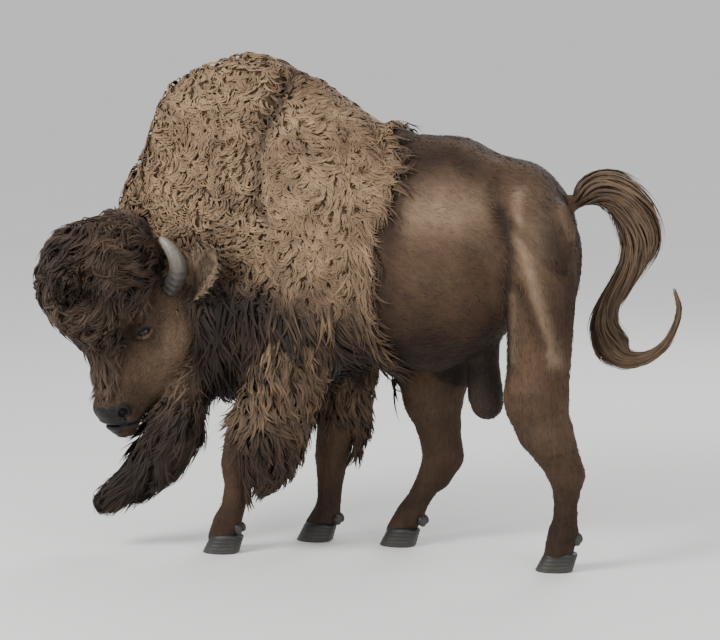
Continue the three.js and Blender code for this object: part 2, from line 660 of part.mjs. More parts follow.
// Tail, beard, shins and fringes: each a solid along its own curve.
const HOOF_TOP = CLAW.height + GAP;
const above = (z, below = WHOLE) => knife([-WHOLE, -WHOLE, z], [WHOLE, WHOLE, below]).solid();
for (const [name, stretch] of Object.entries(TAIL_LENGTHS))
  addNode(`tail_${name}`, tailLength(stretch), name === "root" ? SLEEK : DARK_HAIR);
addNode("tail_wisp", limb(WISP, WISP_SHAPE).subtract(tailLength(TAIL_LENGTHS.tuft, GAP)), DARK_HAIR);
addNode("beard", limb(BEARD, BEARD_SHAPE), DARK_HAIR);
clearances.push(tailLength(TAIL_LENGTHS.root, GAP), limb(BEARD, { ...BEARD_SHAPE, extra: GAP }));
for (const { name, sign } of SIDES) {
  const [fore, hind] = [FORE_LEGS[name], HIND_LEGS[name]];
  const place = (points) => points.map((p) => mirrored(p, -sign));
  const shin = (extra) => limb(place(fore.shin), { ...SHIN_SHAPE, extra });
  addNode(`foreleg_lower_${name}`, cleared(shin(0).intersect(above(HOOF_TOP))), SLEEK);
  clearances.push(shin(GAP));
  const fringe = sleeve(place(fore.sleeve)).intersect(above(0, SLEEVE.top - GAP));
  addNode(`foreleg_fringe_${name}`, cleared(fringe), DARK_HAIR);
  const hock = limb(place(hind.hock), SHIN_SHAPE).intersect(above(HOOF_TOP, hind.hockTop - GAP));
  addNode(`hind_lower_${name}`, cleared(hock), SLEEK);
}

// Flesh: each cut takes its box of the body, less the boxes before it.
const TRUNK_REACH = 6 * COARSE; // whole cells to either side, so that the crest of the back falls in mid-cell
const { left, right } = HIND_LEGS;
const CUTS = [
  ["scrotum", [470, -66, 450], [664, 66, 728], FINE, SLEEK],
  ["foreleg_upper_left", [-425, -480, SLEEVE.top], [120, -62, 735], MEDIUM, DARK_HAIR],
  ["foreleg_upper_right", [-240, 62, SLEEVE.top], [180, 480, 735], MEDIUM, DARK_HAIR],
  ["hind_shank_left", [620, -480, left.hockTop], [1040, -66, 610], MEDIUM, SLEEK],
  ["hind_shank_right", [140, 40, right.hockTop], [560, 480, 640], MEDIUM, SLEEK],
  ["thigh_left", [664, -480, 610], [1040, -70, 1010], MEDIUM, SLEEK],
  ["thigh_right", [-190, 115, -420], [340, 480, 200], MEDIUM, SLEEK, thighFrame],
  ["forelock", [-330, -320, 6], [560, 320, 430], MEDIUM, DARK_HAIR, headFrame],
  ["head", [-20, -240, -330], [700, 240, 6], FINE, DARK_HAIR, headFrame],
  ["neck", [-900, -TRUNK_REACH, 400], [-400, TRUNK_REACH, 1900], COARSE, WOOL],
  ["forequarters", [-400, -TRUNK_REACH, 400], [190, TRUNK_REACH, 1900], COARSE, WOOL],
  ["barrel", [190, -TRUNK_REACH, 500], [664, TRUNK_REACH, 1700], COARSE, SLEEK],
  ["hindquarters", [664, -TRUNK_REACH, 500], [1000, TRUNK_REACH, 1600], COARSE, SLEEK],
];
for (const [name, low, high, cell, material, frame] of CUTS) {
  const cut = knife(low, high, frame);
  const field = cell === COARSE ? trunkWithHaunches : bodyField;
  addNode(name, cleared(fieldSolid(field, cut.reach, cell).intersect(cut.solid())), material);
  clearances.push(cut.solid(GAP));
}

// The origin stands on the floor under the middle of the whole animal.
const bounds = new THREE.Box3().setFromObject(body);
const middle = bounds.getCenter(new THREE.Vector3());
body.position.set(-middle.x, -middle.y, -bounds.min.z);

export default animal;
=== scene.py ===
"""A life-size American bison bull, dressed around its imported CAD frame.

One closed skin is meshed from distance fields that repeat the solids' own dimensions, drawn in by the
depth of the coat. The coat is solid locks that follow the lie of the hair over that skin. Horns, eyes and
hoof claws are pieces of their own.

Lengths are in metres unless a name ends in _MM. The animal faces -X, its left side is -Y, and Z is up.
Shapes are worked out in the solids' drawing axes and shifted onto the frame when they become meshes.
"""

from __future__ import annotations

import logging
import math
from dataclasses import dataclass
from enum import IntEnum
from typing import Callable, Sequence

import bpy
import numpy as np
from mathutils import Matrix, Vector
from mathutils.bvhtree import BVHTree
from mathutils.kdtree import KDTree

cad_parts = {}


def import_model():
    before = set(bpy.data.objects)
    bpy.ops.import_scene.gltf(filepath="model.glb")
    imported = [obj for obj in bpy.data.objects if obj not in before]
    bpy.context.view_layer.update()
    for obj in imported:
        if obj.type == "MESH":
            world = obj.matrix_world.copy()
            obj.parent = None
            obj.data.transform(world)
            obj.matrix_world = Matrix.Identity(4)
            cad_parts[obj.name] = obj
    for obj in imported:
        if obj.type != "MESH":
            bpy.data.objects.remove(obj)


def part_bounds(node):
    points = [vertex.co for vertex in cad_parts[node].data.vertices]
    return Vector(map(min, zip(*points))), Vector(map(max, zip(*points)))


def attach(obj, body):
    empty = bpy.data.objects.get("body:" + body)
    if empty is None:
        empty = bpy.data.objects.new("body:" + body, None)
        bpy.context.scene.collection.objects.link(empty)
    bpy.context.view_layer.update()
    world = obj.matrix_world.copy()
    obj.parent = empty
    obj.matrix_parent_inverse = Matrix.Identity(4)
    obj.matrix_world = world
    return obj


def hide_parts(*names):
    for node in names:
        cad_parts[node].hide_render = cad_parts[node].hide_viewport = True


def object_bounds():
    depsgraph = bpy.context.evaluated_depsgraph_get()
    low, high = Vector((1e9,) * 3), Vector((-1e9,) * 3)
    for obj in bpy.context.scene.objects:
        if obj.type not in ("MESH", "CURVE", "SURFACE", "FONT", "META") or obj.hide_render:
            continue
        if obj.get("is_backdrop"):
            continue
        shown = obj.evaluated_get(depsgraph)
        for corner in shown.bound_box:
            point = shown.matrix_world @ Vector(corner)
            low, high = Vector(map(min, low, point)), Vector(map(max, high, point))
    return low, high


LOG = logging.getLogger("bison")
MM = 0.001
Array = np.ndarray
Field = Callable[[Array], Array]
Area = Callable[[Array, Array], Array]
Rows = Sequence[Sequence[float]]
Piece = bpy.types.Object
Material = bpy.types.Material

# ---- dimensions, in millimetres

BACK_LINE_MM = (
    (-770, 1250), (-735, 1362), (-660, 1525), (-620, 1640), (-572, 1724), (-480, 1776), (-300, 1830),
    (-140, 1790), (0, 1714), (120, 1626), (240, 1551), (330, 1521), (470, 1517), (626, 1452), (740, 1426),
    (800, 1384), (860, 1304), (900, 1170),
)
BELLY_LINE_MM = (
    (-770, 1120), (-680, 860), (-580, 640), (-460, 525), (-300, 520), (-140, 570), (0, 600), (140, 662),
    (240, 690), (330, 672), (400, 664), (480, 698), (560, 735), (660, 820), (800, 900), (900, 950),
)
HALF_WIDTH_MM = (
    (-770, 80), (-680, 122), (-570, 168), (-440, 218), (-300, 278), (-140, 332), (60, 352), (240, 338),
    (400, 326), (540, 300), (640, 262), (760, 240), (850, 190), (900, 115),
)
WIDEST_LEVEL_MM = (
    (-770, 1200), (-660, 1110), (-500, 1020), (-100, 985), (400, 1030), (640, 1110), (900, 1110),
)
UPPER_POWER_MM = ((-770, 2000), (0, 2000), (260, 2150), (900, 2250))
CENTRE_Y_MM = ((-770, -165), (-660, -125), (-540, -70), (-400, -25), (-260, 0), (900, 0))
# Hollows (positive) and swellings of the near haunch: x and z of both ends, half their width, and depth.
HAUNCH_RELIEF_MM = (
    (812, 1275, 862, 1105, 42, 17), (706, 1232, 886, 1062, 17, 10), (738, 1010, 826, 812, 20, 9),
    (722, 1330, 735, 1180, 26, -11), (752, 1150, 868, 760, 26, -11), (712, 980, 718, 760, 17, -6),
    (868, 1280, 905, 1190, 24, -9),
)
CAPE_EDGE_MM = ((500, 190), (912, 226), (1211, 233), (1313, 279), (1443, 279), (1535, 225), (1830, 190))
SHOULDER_FOLD_MM = ((1200, -150), (1225, -159), (1291, -206), (1425, -206), (1602, -172), (1749, -127))
HAUNCH_CREASE_MM = (
    (670, 676), (776, 696), (950, 688), (1051, 694), (1121, 700), (1238, 671), (1330, 625), (1426, 649),
)

TRUNK_BOX_MM = ((-780, -380, 500), (910, 380, 1840))
# Boxes in metres: where the skin's faces are smaller (the muzzle's box is in the head's axes), and where the near
# haunch has relief.
MUZZLE_BOX = ((0.515, -1, -0.23), (0.64, 0.13, 0.07))
LEG_BOX = ((-0.45, -1, -1), (2, 1, 0.47))
HAUNCH_BOX = ((0.62, -1, 0.66), (2, -0.1, 1.4))
RELIEF_BOX = ((0.6, -1, 0.6), (0.98, 0, 1.45))

POLL_MM = (-682, -191, 1076)
HEAD_YAW, HEAD_PITCH = math.radians(39), math.radians(75)
EYE_AT = np.array((249, 134, -57)) * MM
EYE_SOLID_AT = EYE_AT + np.array((0, 4, 1)) * MM
# The head's forms in its own axes: balls with centre, radii and, in metres, how softly they join the rest, and
# rods from brow to nose and along the jaw. The balls are cheek, brow, nose, lip and chin.
CRANIUM_MM = ((105, 0, -128), (140, 138, 118))
FACE_RODS_MM = (
    ((150, 0, -125, 118), (330, 0, -98, 91), (470, 0, -76, 73), (540, 0, -68, 66)),
    ((205, 0, -230, 82), (330, 0, -200, 76), (500, 0, -148, 54), (566, 0, -132, 38)),
)
FACE_BALLS_MM = (
    ((225, 74, -200), (128, 74, 86), 0.045), ((218, 108, -62), (64, 42, 50), 0.028),
    ((556, 0, -48), (46, 78, 56), 0.022), ((572, 40, -96), (34, 34, 56), 0.02),
    ((608, 0, -112), (38, 50, 52), 0.022),
)
HORN_MM = {"base": (78, 128, -118), "bulge": (-12, 210, -92), "tip": (-90, 168, -18)}
EAR_MM = {"base": (104, 140, -186), "tip": (-92, 335, -158)}

# Legs: x, |y|, z and radius down each one; the first row of each pair is the left leg.
SHOULDER_MM = (
    ((-70, 200, 790, 100), (-95, 204, 680, 112), (-148, 203, 545, 110), (-195, 196, 430, 116),
     (-206, 192, 372, 92)),
    ((18, 188, 790, 90), (14, 184, 680, 98), (4, 172, 545, 90), (2, 160, 470, 82), (4, 156, 430, 72)),
)
SHIN_MM = (
    ((-262, 190, 430, 78), (-296, 185, 335, 61), (-304, 172, 250, 45), (-322, 162, 165, 43),
     (-346, 156, 112, 51), (-372, 151, 52, 47)),
    ((-14, 155, 430, 75), (-32, 144, 315, 63), (-36, 134, 220, 48), (-38, 128, 150, 44),
     (-46, 122, 102, 50), (-80, 118, 52, 47)),
)
THIGH_MM = (
    ((785, 150, 1195, 122), (800, 165, 980, 120), (797, 182, 760, 110), (788, 188, 610, 106)),
    ((722, 145, 1180, 114), (612, 172, 990, 136), (430, 190, 790, 134), (342, 188, 640, 128)),
)
SHANK_MM = (
    ((790, 188, 625, 106), (812, 188, 510, 92), (862, 184, 412, 64), (900, 178, 352, 55), (897, 172, 290, 43)),
    ((342, 188, 650, 128), (342, 180, 545, 112), (364, 168, 452, 80), (388, 154, 335, 70), (360, 144, 262, 57)),
)
HOCK_MM = (
    ((838, 186, 490, 88), (858, 185, 450, 76), (886, 182, 394, 62), (897, 179, 350, 63), (896, 172, 290, 43),
     (893, 166, 240, 41), (891, 160, 185, 43), (885, 155, 140, 54), (862, 147, 52, 48)),
    ((350, 180, 500, 96), (361, 176, 455, 82), (371, 168, 400, 67), (386, 158, 330, 72), (362, 148, 272, 58),
     (330, 138, 225, 46), (300, 130, 170, 42), (272, 122, 118, 51), (232, 113, 52, 48)),
)
HOOVES_MM = {
    "fore_left": (-372, 152, 4, -300, 92), "fore_right": (-92, 118, -3, 0, 84),
    "hind_left": (850, 142, 6, 932, 116), "hind_right": (226, 112, -5, 322, 96),
}
SCROTUM_MM = ((560, 4, 780, 62), (562, 6, 700, 58), (572, 4, 590, 64), (578, 2, 560, 58))
TAIL_MM = (
    (850, 0, 1268, 34), (890, -2, 1290, 30), (942, -8, 1330, 54), (995, -14, 1339, 65), (1056, -20, 1310, 66),
    (1103, -24, 1246, 70), (1121, -22, 1168, 68), (1097, -14, 1082, 46), (1055, -4, 1004, 38),
    (1013, 6, 936, 36), (997, 12, 856, 47), (1022, 14, 784, 55), (1082, 10, 740, 34),
)
TAIL_TURN_MM = (1058, 11, 745, 38)
WISP_MM = (
    (1092, 10, 736, 27), (1150, 4, 748, 17), (1206, 0, 790, 12), (1240, -4, 850, 9),
    (1258, -6, 925, 7), (1236, -8, 1000, 4),
)
BEARD_MM = (
    (-470, -140, 640, 80), (-508, -152, 545, 100), (-562, -170, 440, 124), (-622, -186, 345, 112),
    (-700, -200, 245, 86), (-775, -212, 186, 40), (-834, -220, 142, 8),
)
SIDES = (("left", -1), ("right", 1))

# ---- small maths


def unit(v: Array) -> Array:
    """Vectors scaled to length one, along the last axis."""
    v = np.asarray(v, float)
    return v / np.maximum(np.linalg.norm(v, axis=-1, keepdims=True), 1e-9)


def circle(steps: int) -> Array:
    """Angles once round, without the last."""
    return np.linspace(0, 2 * math.pi, steps, endpoint=False)


def lengths(v: Array) -> Array:
    """The length of each vector, along the last axis."""
    return np.linalg.norm(v, axis=-1)


def squared(v: Sequence[float], axis: Array) -> Array:
    """A direction turned square to an axis."""
    v = np.array(v, float)
    return unit(v - axis * (v @ axis))


def in_box(p: Array, box: Rows) -> Array:
    """True for the points between a box's low and high corner."""
    return ((p > box[0]) & (p < box[1])).all(1)


def smooth_step(x: Array) -> Array:
    """0 below 0, 1 above 1, and an S between."""
    x = np.clip(x, 0, 1)
    return x * x * (3 - 2 * x)


def bell(x: Array) -> Array:
    """A bump of height one, about one wide to each side."""
    return np.exp(-np.square(x))


def ramp(x: Array, start: float, width: float) -> Array:
    """A smooth step up that starts at a value and takes a width."""
    return smooth_step((x - start) / width)


def fall(x: Array, end: float, width: float) -> Array:
    """A smooth step down that takes a width and ends at a value."""
    return smooth_step((end - x) / width)


def bump(x: Array, middle: float, width: float) -> Array:
    """A bump of height one round a middle."""
    return bell((x - middle) / width)


def smooth_min(a: Array, b: Array, width: float) -> Array:
    """The lesser of two distances, with the corner between them filled over a width."""
    h = np.maximum(width - np.abs(a - b), 0)
    return np.minimum(a, b) - h * h / (4 * width)


def ripple(p: Array, scale: float, seed: int) -> Array:
    """A smooth random number from -1 to 1 at each point.

    Args:
        p: Points, one a row.
        scale: The size of its waves, in metres.
        seed: Picks one pattern.

    Returns:
        One number a point.
    """
    rng = np.random.default_rng(seed)
    waves = rng.normal(size=(6, 3)) * (2.2 / scale)
    return np.sin(p @ waves.T + rng.uniform(0, 2 * math.pi, 6)).sum(1) / 3.2


class Profile:
    """A smooth curve through (x, value) knots in millimetres, which never overshoots them."""

    def __init__(self, knots: Sequence[tuple[float, float]], samples: int = 400) -> None:
        """Tabulates the curve.

        Args:
            knots: (x, value) pairs in millimetres, x rising.
            samples: How finely it is tabulated.
        """
        x, y = np.array(knots, float).T * MM
        slope = np.diff(y) / np.diff(x)
        before, after = np.r_[slope[0], slope], np.r_[slope, slope[-1]]
        total = np.where(before * after > 0, before + after, 1)
        tangent = np.where(before * after > 0, 2 * before * after / total, 0)
        self.x = np.linspace(x[0], x[-1], samples)
        i = np.clip(np.searchsorted(x, self.x, side="right") - 1, 0, len(x) - 2)
        span = np.diff(x)[i]
        t = (self.x - x[i]) / span
        bend = (1 - t) ** 2 * t * tangent[i] * span - t * t * (1 - t) * tangent[i + 1] * span
        self.y = y[i] * (1 + 2 * t) * (1 - t) ** 2 + y[i + 1] * t * t * (3 - 2 * t) + bend

    def __call__(self, x: Array) -> Array:
        """The curve's value at each x."""
        return np.interp(x, self.x, self.y)


class Route:
    """A curve with a radius, through rows of x, y, z, radius."""

    def __init__(self, rows: Array, samples: int = 160) -> None:
        """Tabulates a Catmull-Rom curve through the rows.

        Args:
            rows: x, y, z and radius of each knot, in metres.
            samples: How finely it is tabulated.
        """
        rows = np.asarray(rows, float)
        padded = np.vstack([2 * rows[0] - rows[1], rows, 2 * rows[-1] - rows[-2]])
        s = np.linspace(0, len(rows) - 1, samples)
        i = np.minimum(s.astype(int), len(rows) - 2)
        t = (s - i)[:, None]
        a, b, c, d = (padded[i + k] for k in range(4))
        square, cube = 2 * a - 5 * b + 4 * c - d, 3 * b - 3 * c + d - a
        self.rows = 0.5 * (2 * b + (c - a) * t + square * t**2 + cube * t**3)
        reach = lengths(np.diff(self.rows[:, :3], axis=0))
        self.share = np.r_[0, np.cumsum(reach)] / reach.sum()

    def at(self, share: Array) -> Array:
        """x, y, z and radius at each share of the length."""
        return np.stack([np.interp(share, self.share, column) for column in self.rows.T], axis=-1)

    def heading(self, share: Array) -> Array:
        """The unit tangent at each share of the length."""
        return unit(self.at(np.asarray(share) + 0.01)[..., :3] - self.at(np.asarray(share) - 0.01)[..., :3])


# ---- distance fields: negative inside


def head_axes() -> Array:
    """Rows: to the nose, to the head's left, and out of the forehead."""
    cy, sy, cp, sp = math.cos(HEAD_YAW), math.sin(HEAD_YAW), math.cos(HEAD_PITCH), math.sin(HEAD_PITCH)
    return np.array([[-cy * cp, -sy * cp, -sp], [sy, -cy, 0], [-cy * sp, -sy * sp, cp]])


HEAD = head_axes()
POLL = np.array(POLL_MM) * MM


def to_head(p: Array) -> Array:
    """Points in the head's own axes."""
    return (p - POLL) @ HEAD.T


def near_head(p: Array) -> Array:
    """Points in the head's own axes, the far side mirrored onto the near one."""
    q = to_head(p)
    q[:, 1] = np.abs(q[:, 1])
    return q


def from_head(q: Array) -> Array:
    """Points given in the head's axes, in the animal's."""
    return np.asarray(q, float) @ HEAD + POLL


def from_near(q: Array, sign: int) -> Array:
    """Points given in the near side's head axes, on the side of a sign."""
    return from_head(q * (1, -sign, 1))


def ball(p: Array, centre: Sequence[float], radii: Sequence[float]) -> Array:
    """Distance to an ellipsoid, its centre and radii in millimetres."""
    size = np.array(radii) * MM
    local = (p - np.array(centre) * MM) / size
    reach = lengths(local)
    return reach * (reach - 1) / np.maximum(lengths(local / size), 1e-6)


def chain(p: Array, rows_mm: Rows, flatten: float = 1) -> Array:
    """Distance to tapered rods end to end.

    Args:
        p: Points, one a row.
        rows_mm: x, y, z and radius of each joint, in millimetres.
        flatten: Above one, the rods are this much thinner across Y.

    Returns:
        One distance a point.
    """
    rows = np.array(rows_mm, float) * MM
    nearest = np.full(len(p), np.inf)
    for a, b in zip(rows[:-1], rows[1:]):
        along = b[:3] - a[:3]
        offset = p - a[:3]
        t = np.clip(offset @ along / (along @ along), 0, 1)
        offset = offset - t[:, None] * along
        offset[:, 1] *= flatten
        nearest = np.minimum(nearest, lengths(offset) - (a[3] + (b[3] - a[3]) * t))
    return nearest


def on_side(rows_mm: Rows, sign: int) -> Array:
    """Leg rows with their |y| put on one side of the animal."""
    rows = np.array(rows_mm, float)
    rows[:, 1] *= sign
    return rows


class Zone(IntEnum):
    """The parts of the body that wear different coats."""

    TRUNK = 0
    HEAD = 1
    BONNET = 2
    SLEEVE = 3
    LEG = 4
    TAIL = 5
    BEARD = 6
    EAR = 7
    SCROTUM = 8


@dataclass(frozen=True)
class BodyPart:
    """One part of the skin: its field, where it can matter, and how softly it joins the rest."""

    zone: Zone
    field: Field
    low: Array
    high: Array
    join: float

    def distance(self, p: Array, margin: float = 0.12) -> Array:
        """The field near the part, and a plain far value elsewhere."""
        gap = np.maximum(self.low - p, p - self.high).max(1)
        near = gap < margin
        out = np.maximum(gap, margin)
        if near.any():
            out[near] = self.field(p[near])
        return out


class Trunk:
    """Trunk and neck under their coat: an egg-shaped section that changes along X."""

    COAT, WOOL = 0.007, 0.046  # depth of the sleek coat, and of the wool

    def __init__(self) -> None:
        """Tabulates the profiles."""
        self.top, self.bottom = Profile(BACK_LINE_MM), Profile(BELLY_LINE_MM)
        self.width, self.level = Profile(HALF_WIDTH_MM), Profile(WIDEST_LEVEL_MM)
        self.power, self.centre = Profile(UPPER_POWER_MM), Profile(CENTRE_Y_MM)
        self.cape_edge, self.fold = Profile(CAPE_EDGE_MM), Profile(SHOULDER_FOLD_MM)
        self.crease = Profile(HAUNCH_CREASE_MM)

    def cape(self, p: Array) -> Array:
        """1 on the woolly forequarters, 0 on the sleek rear, soft between."""
        return smooth_step((self.cape_edge(p[:, 2]) - p[:, 0]) / 0.07 + 0.5)

    def fold_at(self, p: Array) -> Array:
        """1 in the fold between neck and shoulder."""
        x, z = p[:, 0], p[:, 2]
        return bell((x - self.fold(z)) / 0.035) * ramp(z, 1.16, 0.1) * fall(z, 1.8, 0.12)

    def crease_at(self, p: Array) -> Array:
        """1 in the crease in front of the near haunch."""
        x, y, z = p.T
        line = bell((x - self.crease(z)) / 0.028) * fall(z, 1.45, 0.12) * ramp(z, 0.64, 0.1)
        return line * smooth_step(-y / 0.1)

    def coat(self, p: Array) -> Array:
        """How far the skin lies under the tips of the coat."""
        x, _, z = p.T
        cape = self.cape(p)
        chest = cape * fall(z, 0.86, 0.2)
        flank = 0.012 * bump(x, 0.6, 0.07) * bump(z, 1.22, 0.09)
        depth = self.COAT + (self.WOOL - self.COAT) * cape + 0.02 * chest
        return depth + 0.026 * self.fold_at(p) + 0.018 * self.crease_at(p) + flank

    def radial(self, x: Array, y: Array, z: Array) -> Array:
        """Reach past the section's outline, measured from its middle."""
        dy, dz = y - self.centre(x), z - self.level(x)
        reach = np.hypot(dy, dz) + 1e-6
        up = dz > 0
        height = np.where(up, self.top(x) - self.level(x), self.level(x) - self.bottom(x))
        n = np.where(up, self.power(x), 2)
        share = (np.abs(dy) / reach / self.width(x)) ** n + (np.abs(dz) / reach / height) ** n
        return reach - share ** (-1 / n)

    def field(self, p: Array) -> Array:
        """Distance to the trunk's skin."""
        step = 0.004
        x = np.clip(p[:, 0], self.top.x[0], self.top.x[-1])
        y, z = p[:, 1], p[:, 2]
        side = self.radial(x, y, z)
        slopes = (
            self.radial(x + step, y, z) - side, self.radial(x, y + step, z) - side,
            self.radial(x, y, z + step) - side,
        )
        steep = np.sqrt(sum(np.square(s) for s in slopes)) / step
        level = side / np.maximum(1, steep)
        past = np.abs(p[:, 0] - x)
        return np.where(past > 0, np.hypot(np.maximum(level, 0), past), level) + self.coat(p)


TRUNK = Trunk()
EYE_OUT = unit(np.array([0.06, 0.91, 0.40]))
EYE_LONG = squared((0.64, 0.0, 0.77), EYE_OUT)
EYE_UP = np.cross(EYE_LONG, EYE_OUT)


@dataclass(frozen=True)
class EyeSizes:
    """The eye, its lids and the hollow behind them."""

    ball: float = 0.0238
    lid: float = 0.0292
    half_width: float = 0.0320
    upper: float = 0.0080
    lower: float = 0.0100
    margin: float = 0.0034
    spread: float = 0.42
    hollow_mm: tuple[float, float, float] = (24, 17, 22)


EYE = EyeSizes()


def eye_local(q: Array) -> tuple[Array, Array, Array]:
    """Along the lids, up, and out of the near eye, of points in the head's axes with |l| taken."""
    offset = q - EYE_AT
    return offset @ EYE_LONG, offset @ EYE_UP, offset @ EYE_OUT


def below_mouth(q: Array) -> Array:
    """How far past the line of the mouth a point lies, towards the chin, in the head's axes."""
    return (q[:, 0] - 0.6375 - 0.417 * q[:, 2]) / 1.083


def face_field(q: Array) -> Array:
    """Distance to the head's large forms, from points in the head's axes with |l| taken."""
    d = ball(q, *CRANIUM_MM)
    for rows in FACE_RODS_MM:
        d = smooth_min(d, chain(q, rows), 0.05)
    for centre, radii, join in FACE_BALLS_MM:
        d = smooth_min(d, ball(q, centre, radii), join)
    return d


def with_lids(d: Array, q: Array) -> Array:
    """A distance joined to the ball that the lids lie on."""
    return smooth_min(d, lengths(q - EYE_AT) - EYE.lid, 0.016)


def head_field(p: Array) -> Array:
    """Distance to skull, face, muzzle and jaw, with nostrils, lips and folds, and a hollow for each eye."""
    q = near_head(p)
    d = face_field(q)
    # Ridges and hollows of the face: under the eye, along the cheek bone, and beside the muzzle.
    along, up, out = eye_local(q)
    cheek = smooth_step(q[:, 1] / 0.06)
    d = d + 0.007 * bump(q[:, 0], 0.36, 0.045) * bump(q[:, 2], -0.085, 0.032) * cheek
    d = d - 0.008 * bump(q[:, 2], -0.135, 0.024) * bump(q[:, 0], 0.3, 0.09) * cheek
    d = d + 0.006 * bump(q[:, 0], 0.47, 0.02) * bump(q[:, 2], -0.06, 0.04) * cheek
    folds = np.cos((q[:, 0] - 0.55 + 0.25 * q[:, 2]) / 0.0036) * bump(q[:, 0], 0.505, 0.022)
    d = d - 0.0009 * folds * fall(q[:, 2], 0.02, 0.03) * ramp(q[:, 2], -0.14, 0.03)
    # Nostrils: a raised rim round a deep comma-shaped opening.
    d = smooth_min(d, ball(q, (548, 62, -74), (33, 24, 32)), 0.010)
    hole = ball(q, (553, 80, -74), (17, 22, 19))
    slot = ball(q, (567, 80, -92), (13, 12, 8))
    d = -smooth_min(-d, smooth_min(hole, slot, 0.008), 0.005)
    groove = bell(q[:, 1] / 0.0045) * ramp(q[:, 0], 0.545, 0.012) * ramp(q[:, 2], -0.10, 0.02)
    d = d + 0.004 * groove
    # Lips: full on either side of a narrow slit.
    gap = below_mouth(q)
    front = ramp(q[:, 2], -0.170, 0.02)
    d = d - 0.0055 * bump(np.abs(gap), 0.013, 0.010) * front
    slit = np.maximum(np.maximum(np.abs(gap) - 0.0026, -0.163 - q[:, 2]), -(d + 0.018))
    d = -smooth_min(-d, slit, 0.004)
    hollow = ball(np.stack([along, up, out], 1), (0, 0, 16), EYE.hollow_mm)
    return -smooth_min(-with_lids(d, q), hollow, 0.003)


def lidless(q: Array) -> Array:
    """Distance to the face near an eye, without the hollow behind its lids."""
    return with_lids(face_field(q), q)


def bonnet_field(p: Array) -> Array:
    """The dense mass under the curls on the brow, and under the fringe down the nose."""
    q = to_head(p)
    d = ball(q, (108, 0, 104), (178, 158, 190))
    d = smooth_min(d, ball(q, (-10, 0, 15), (92, 112, 98)), 0.07)
    d = smooth_min(d, chain(q, ((250, 0, 50, 100), (360, 0, 2, 52), (440, 0, -4, 26))), 0.07)
    return d - 0.008 * ripple(p, 0.05, 11)


@dataclass
class EarShape:
    """An ear: a cupped leaf rolled up at its root, in the head's axes with |l| taken."""

    base: Array
    tip: Array
    facing: Sequence[float] = (0.22, 0.55, 0.85)
    shortened: float = 0.97
    rows: int = 26
    columns: int = 18

    def __post_init__(self) -> None:
        """Works out the leaf's axes, from its root to its tip."""
        self.along = unit(self.tip - self.base)
        self.open = squared(self.facing, self.along)
        self.length = float(lengths(self.tip - self.base)) * self.shortened
        self.across = np.cross(self.along, self.open)

    def half_width(self, t: Array) -> Array:
        """Half the leaf's width at a share of its length."""
        return 0.062 * (0.42 + 0.58 * np.sin(math.pi * (0.08 + 0.62 * t))) * np.sqrt(1 - 0.96 * t**5)

    def middle(self, t: Array, u: Array) -> Array:
        """The leaf's middle surface: t along it, and u from -1 to 1 across it."""
        half = self.half_width(t)
        cup = 0.010 + 0.024 * (1 - smooth_step(t / 0.5))
        pleats = 0.0016 * np.cos(u * 11) * fall(t, 0.9, 0.4)
        bend = -0.5 * cup + cup * np.abs(u) ** 2.2 - 0.016 * np.square(t) + pleats
        curl = half * u * (1 - 0.22 * (1 - smooth_step(t / 0.4)) * u * u)
        place = self.base + t[:, None] * self.length * self.along
        return place + curl[:, None] * self.across + bend[:, None] * self.open

    def rings(self) -> Array:
        """Closed rings round the leaf: across its back, and again across its inside."""
        t = np.linspace(-0.12, 1, self.rows)
        u = np.cos(np.linspace(0, math.pi, self.columns))
        grid_t, grid_u = np.meshgrid(t, u, indexing="ij")
        middle = self.middle(np.clip(grid_t.ravel(), 0, 1), grid_u.ravel()).reshape(*grid_t.shape, 3)
        middle += (np.minimum(t, 0) * self.length)[:, None, None] * self.along
        thick = (0.0042 - 0.0024 * np.clip(t, 0, 1))[:, None] * np.sqrt(1 - 0.97 * u**6)
        out = thick[..., None] * self.open
        return np.concatenate([middle - out, (middle + out)[:, ::-1]], 1)


EAR = EarShape(*(np.array(end) * MM for end in EAR_MM.values()))


def cheek_reach(way: Array) -> Array:
    """How far from the eye's middle the face lies along each direction."""
    low, high = np.full(way.shape[:2], 0.012), np.full(way.shape[:2], 0.09)
    for _ in range(18):
        middle = (low + high) / 2
        inside = lidless((EYE_AT + way * middle[..., None]).reshape(-1, 3)).reshape(middle.shape) < 0
        low, high = np.where(inside, middle, low), np.where(inside, high, middle)
    return low


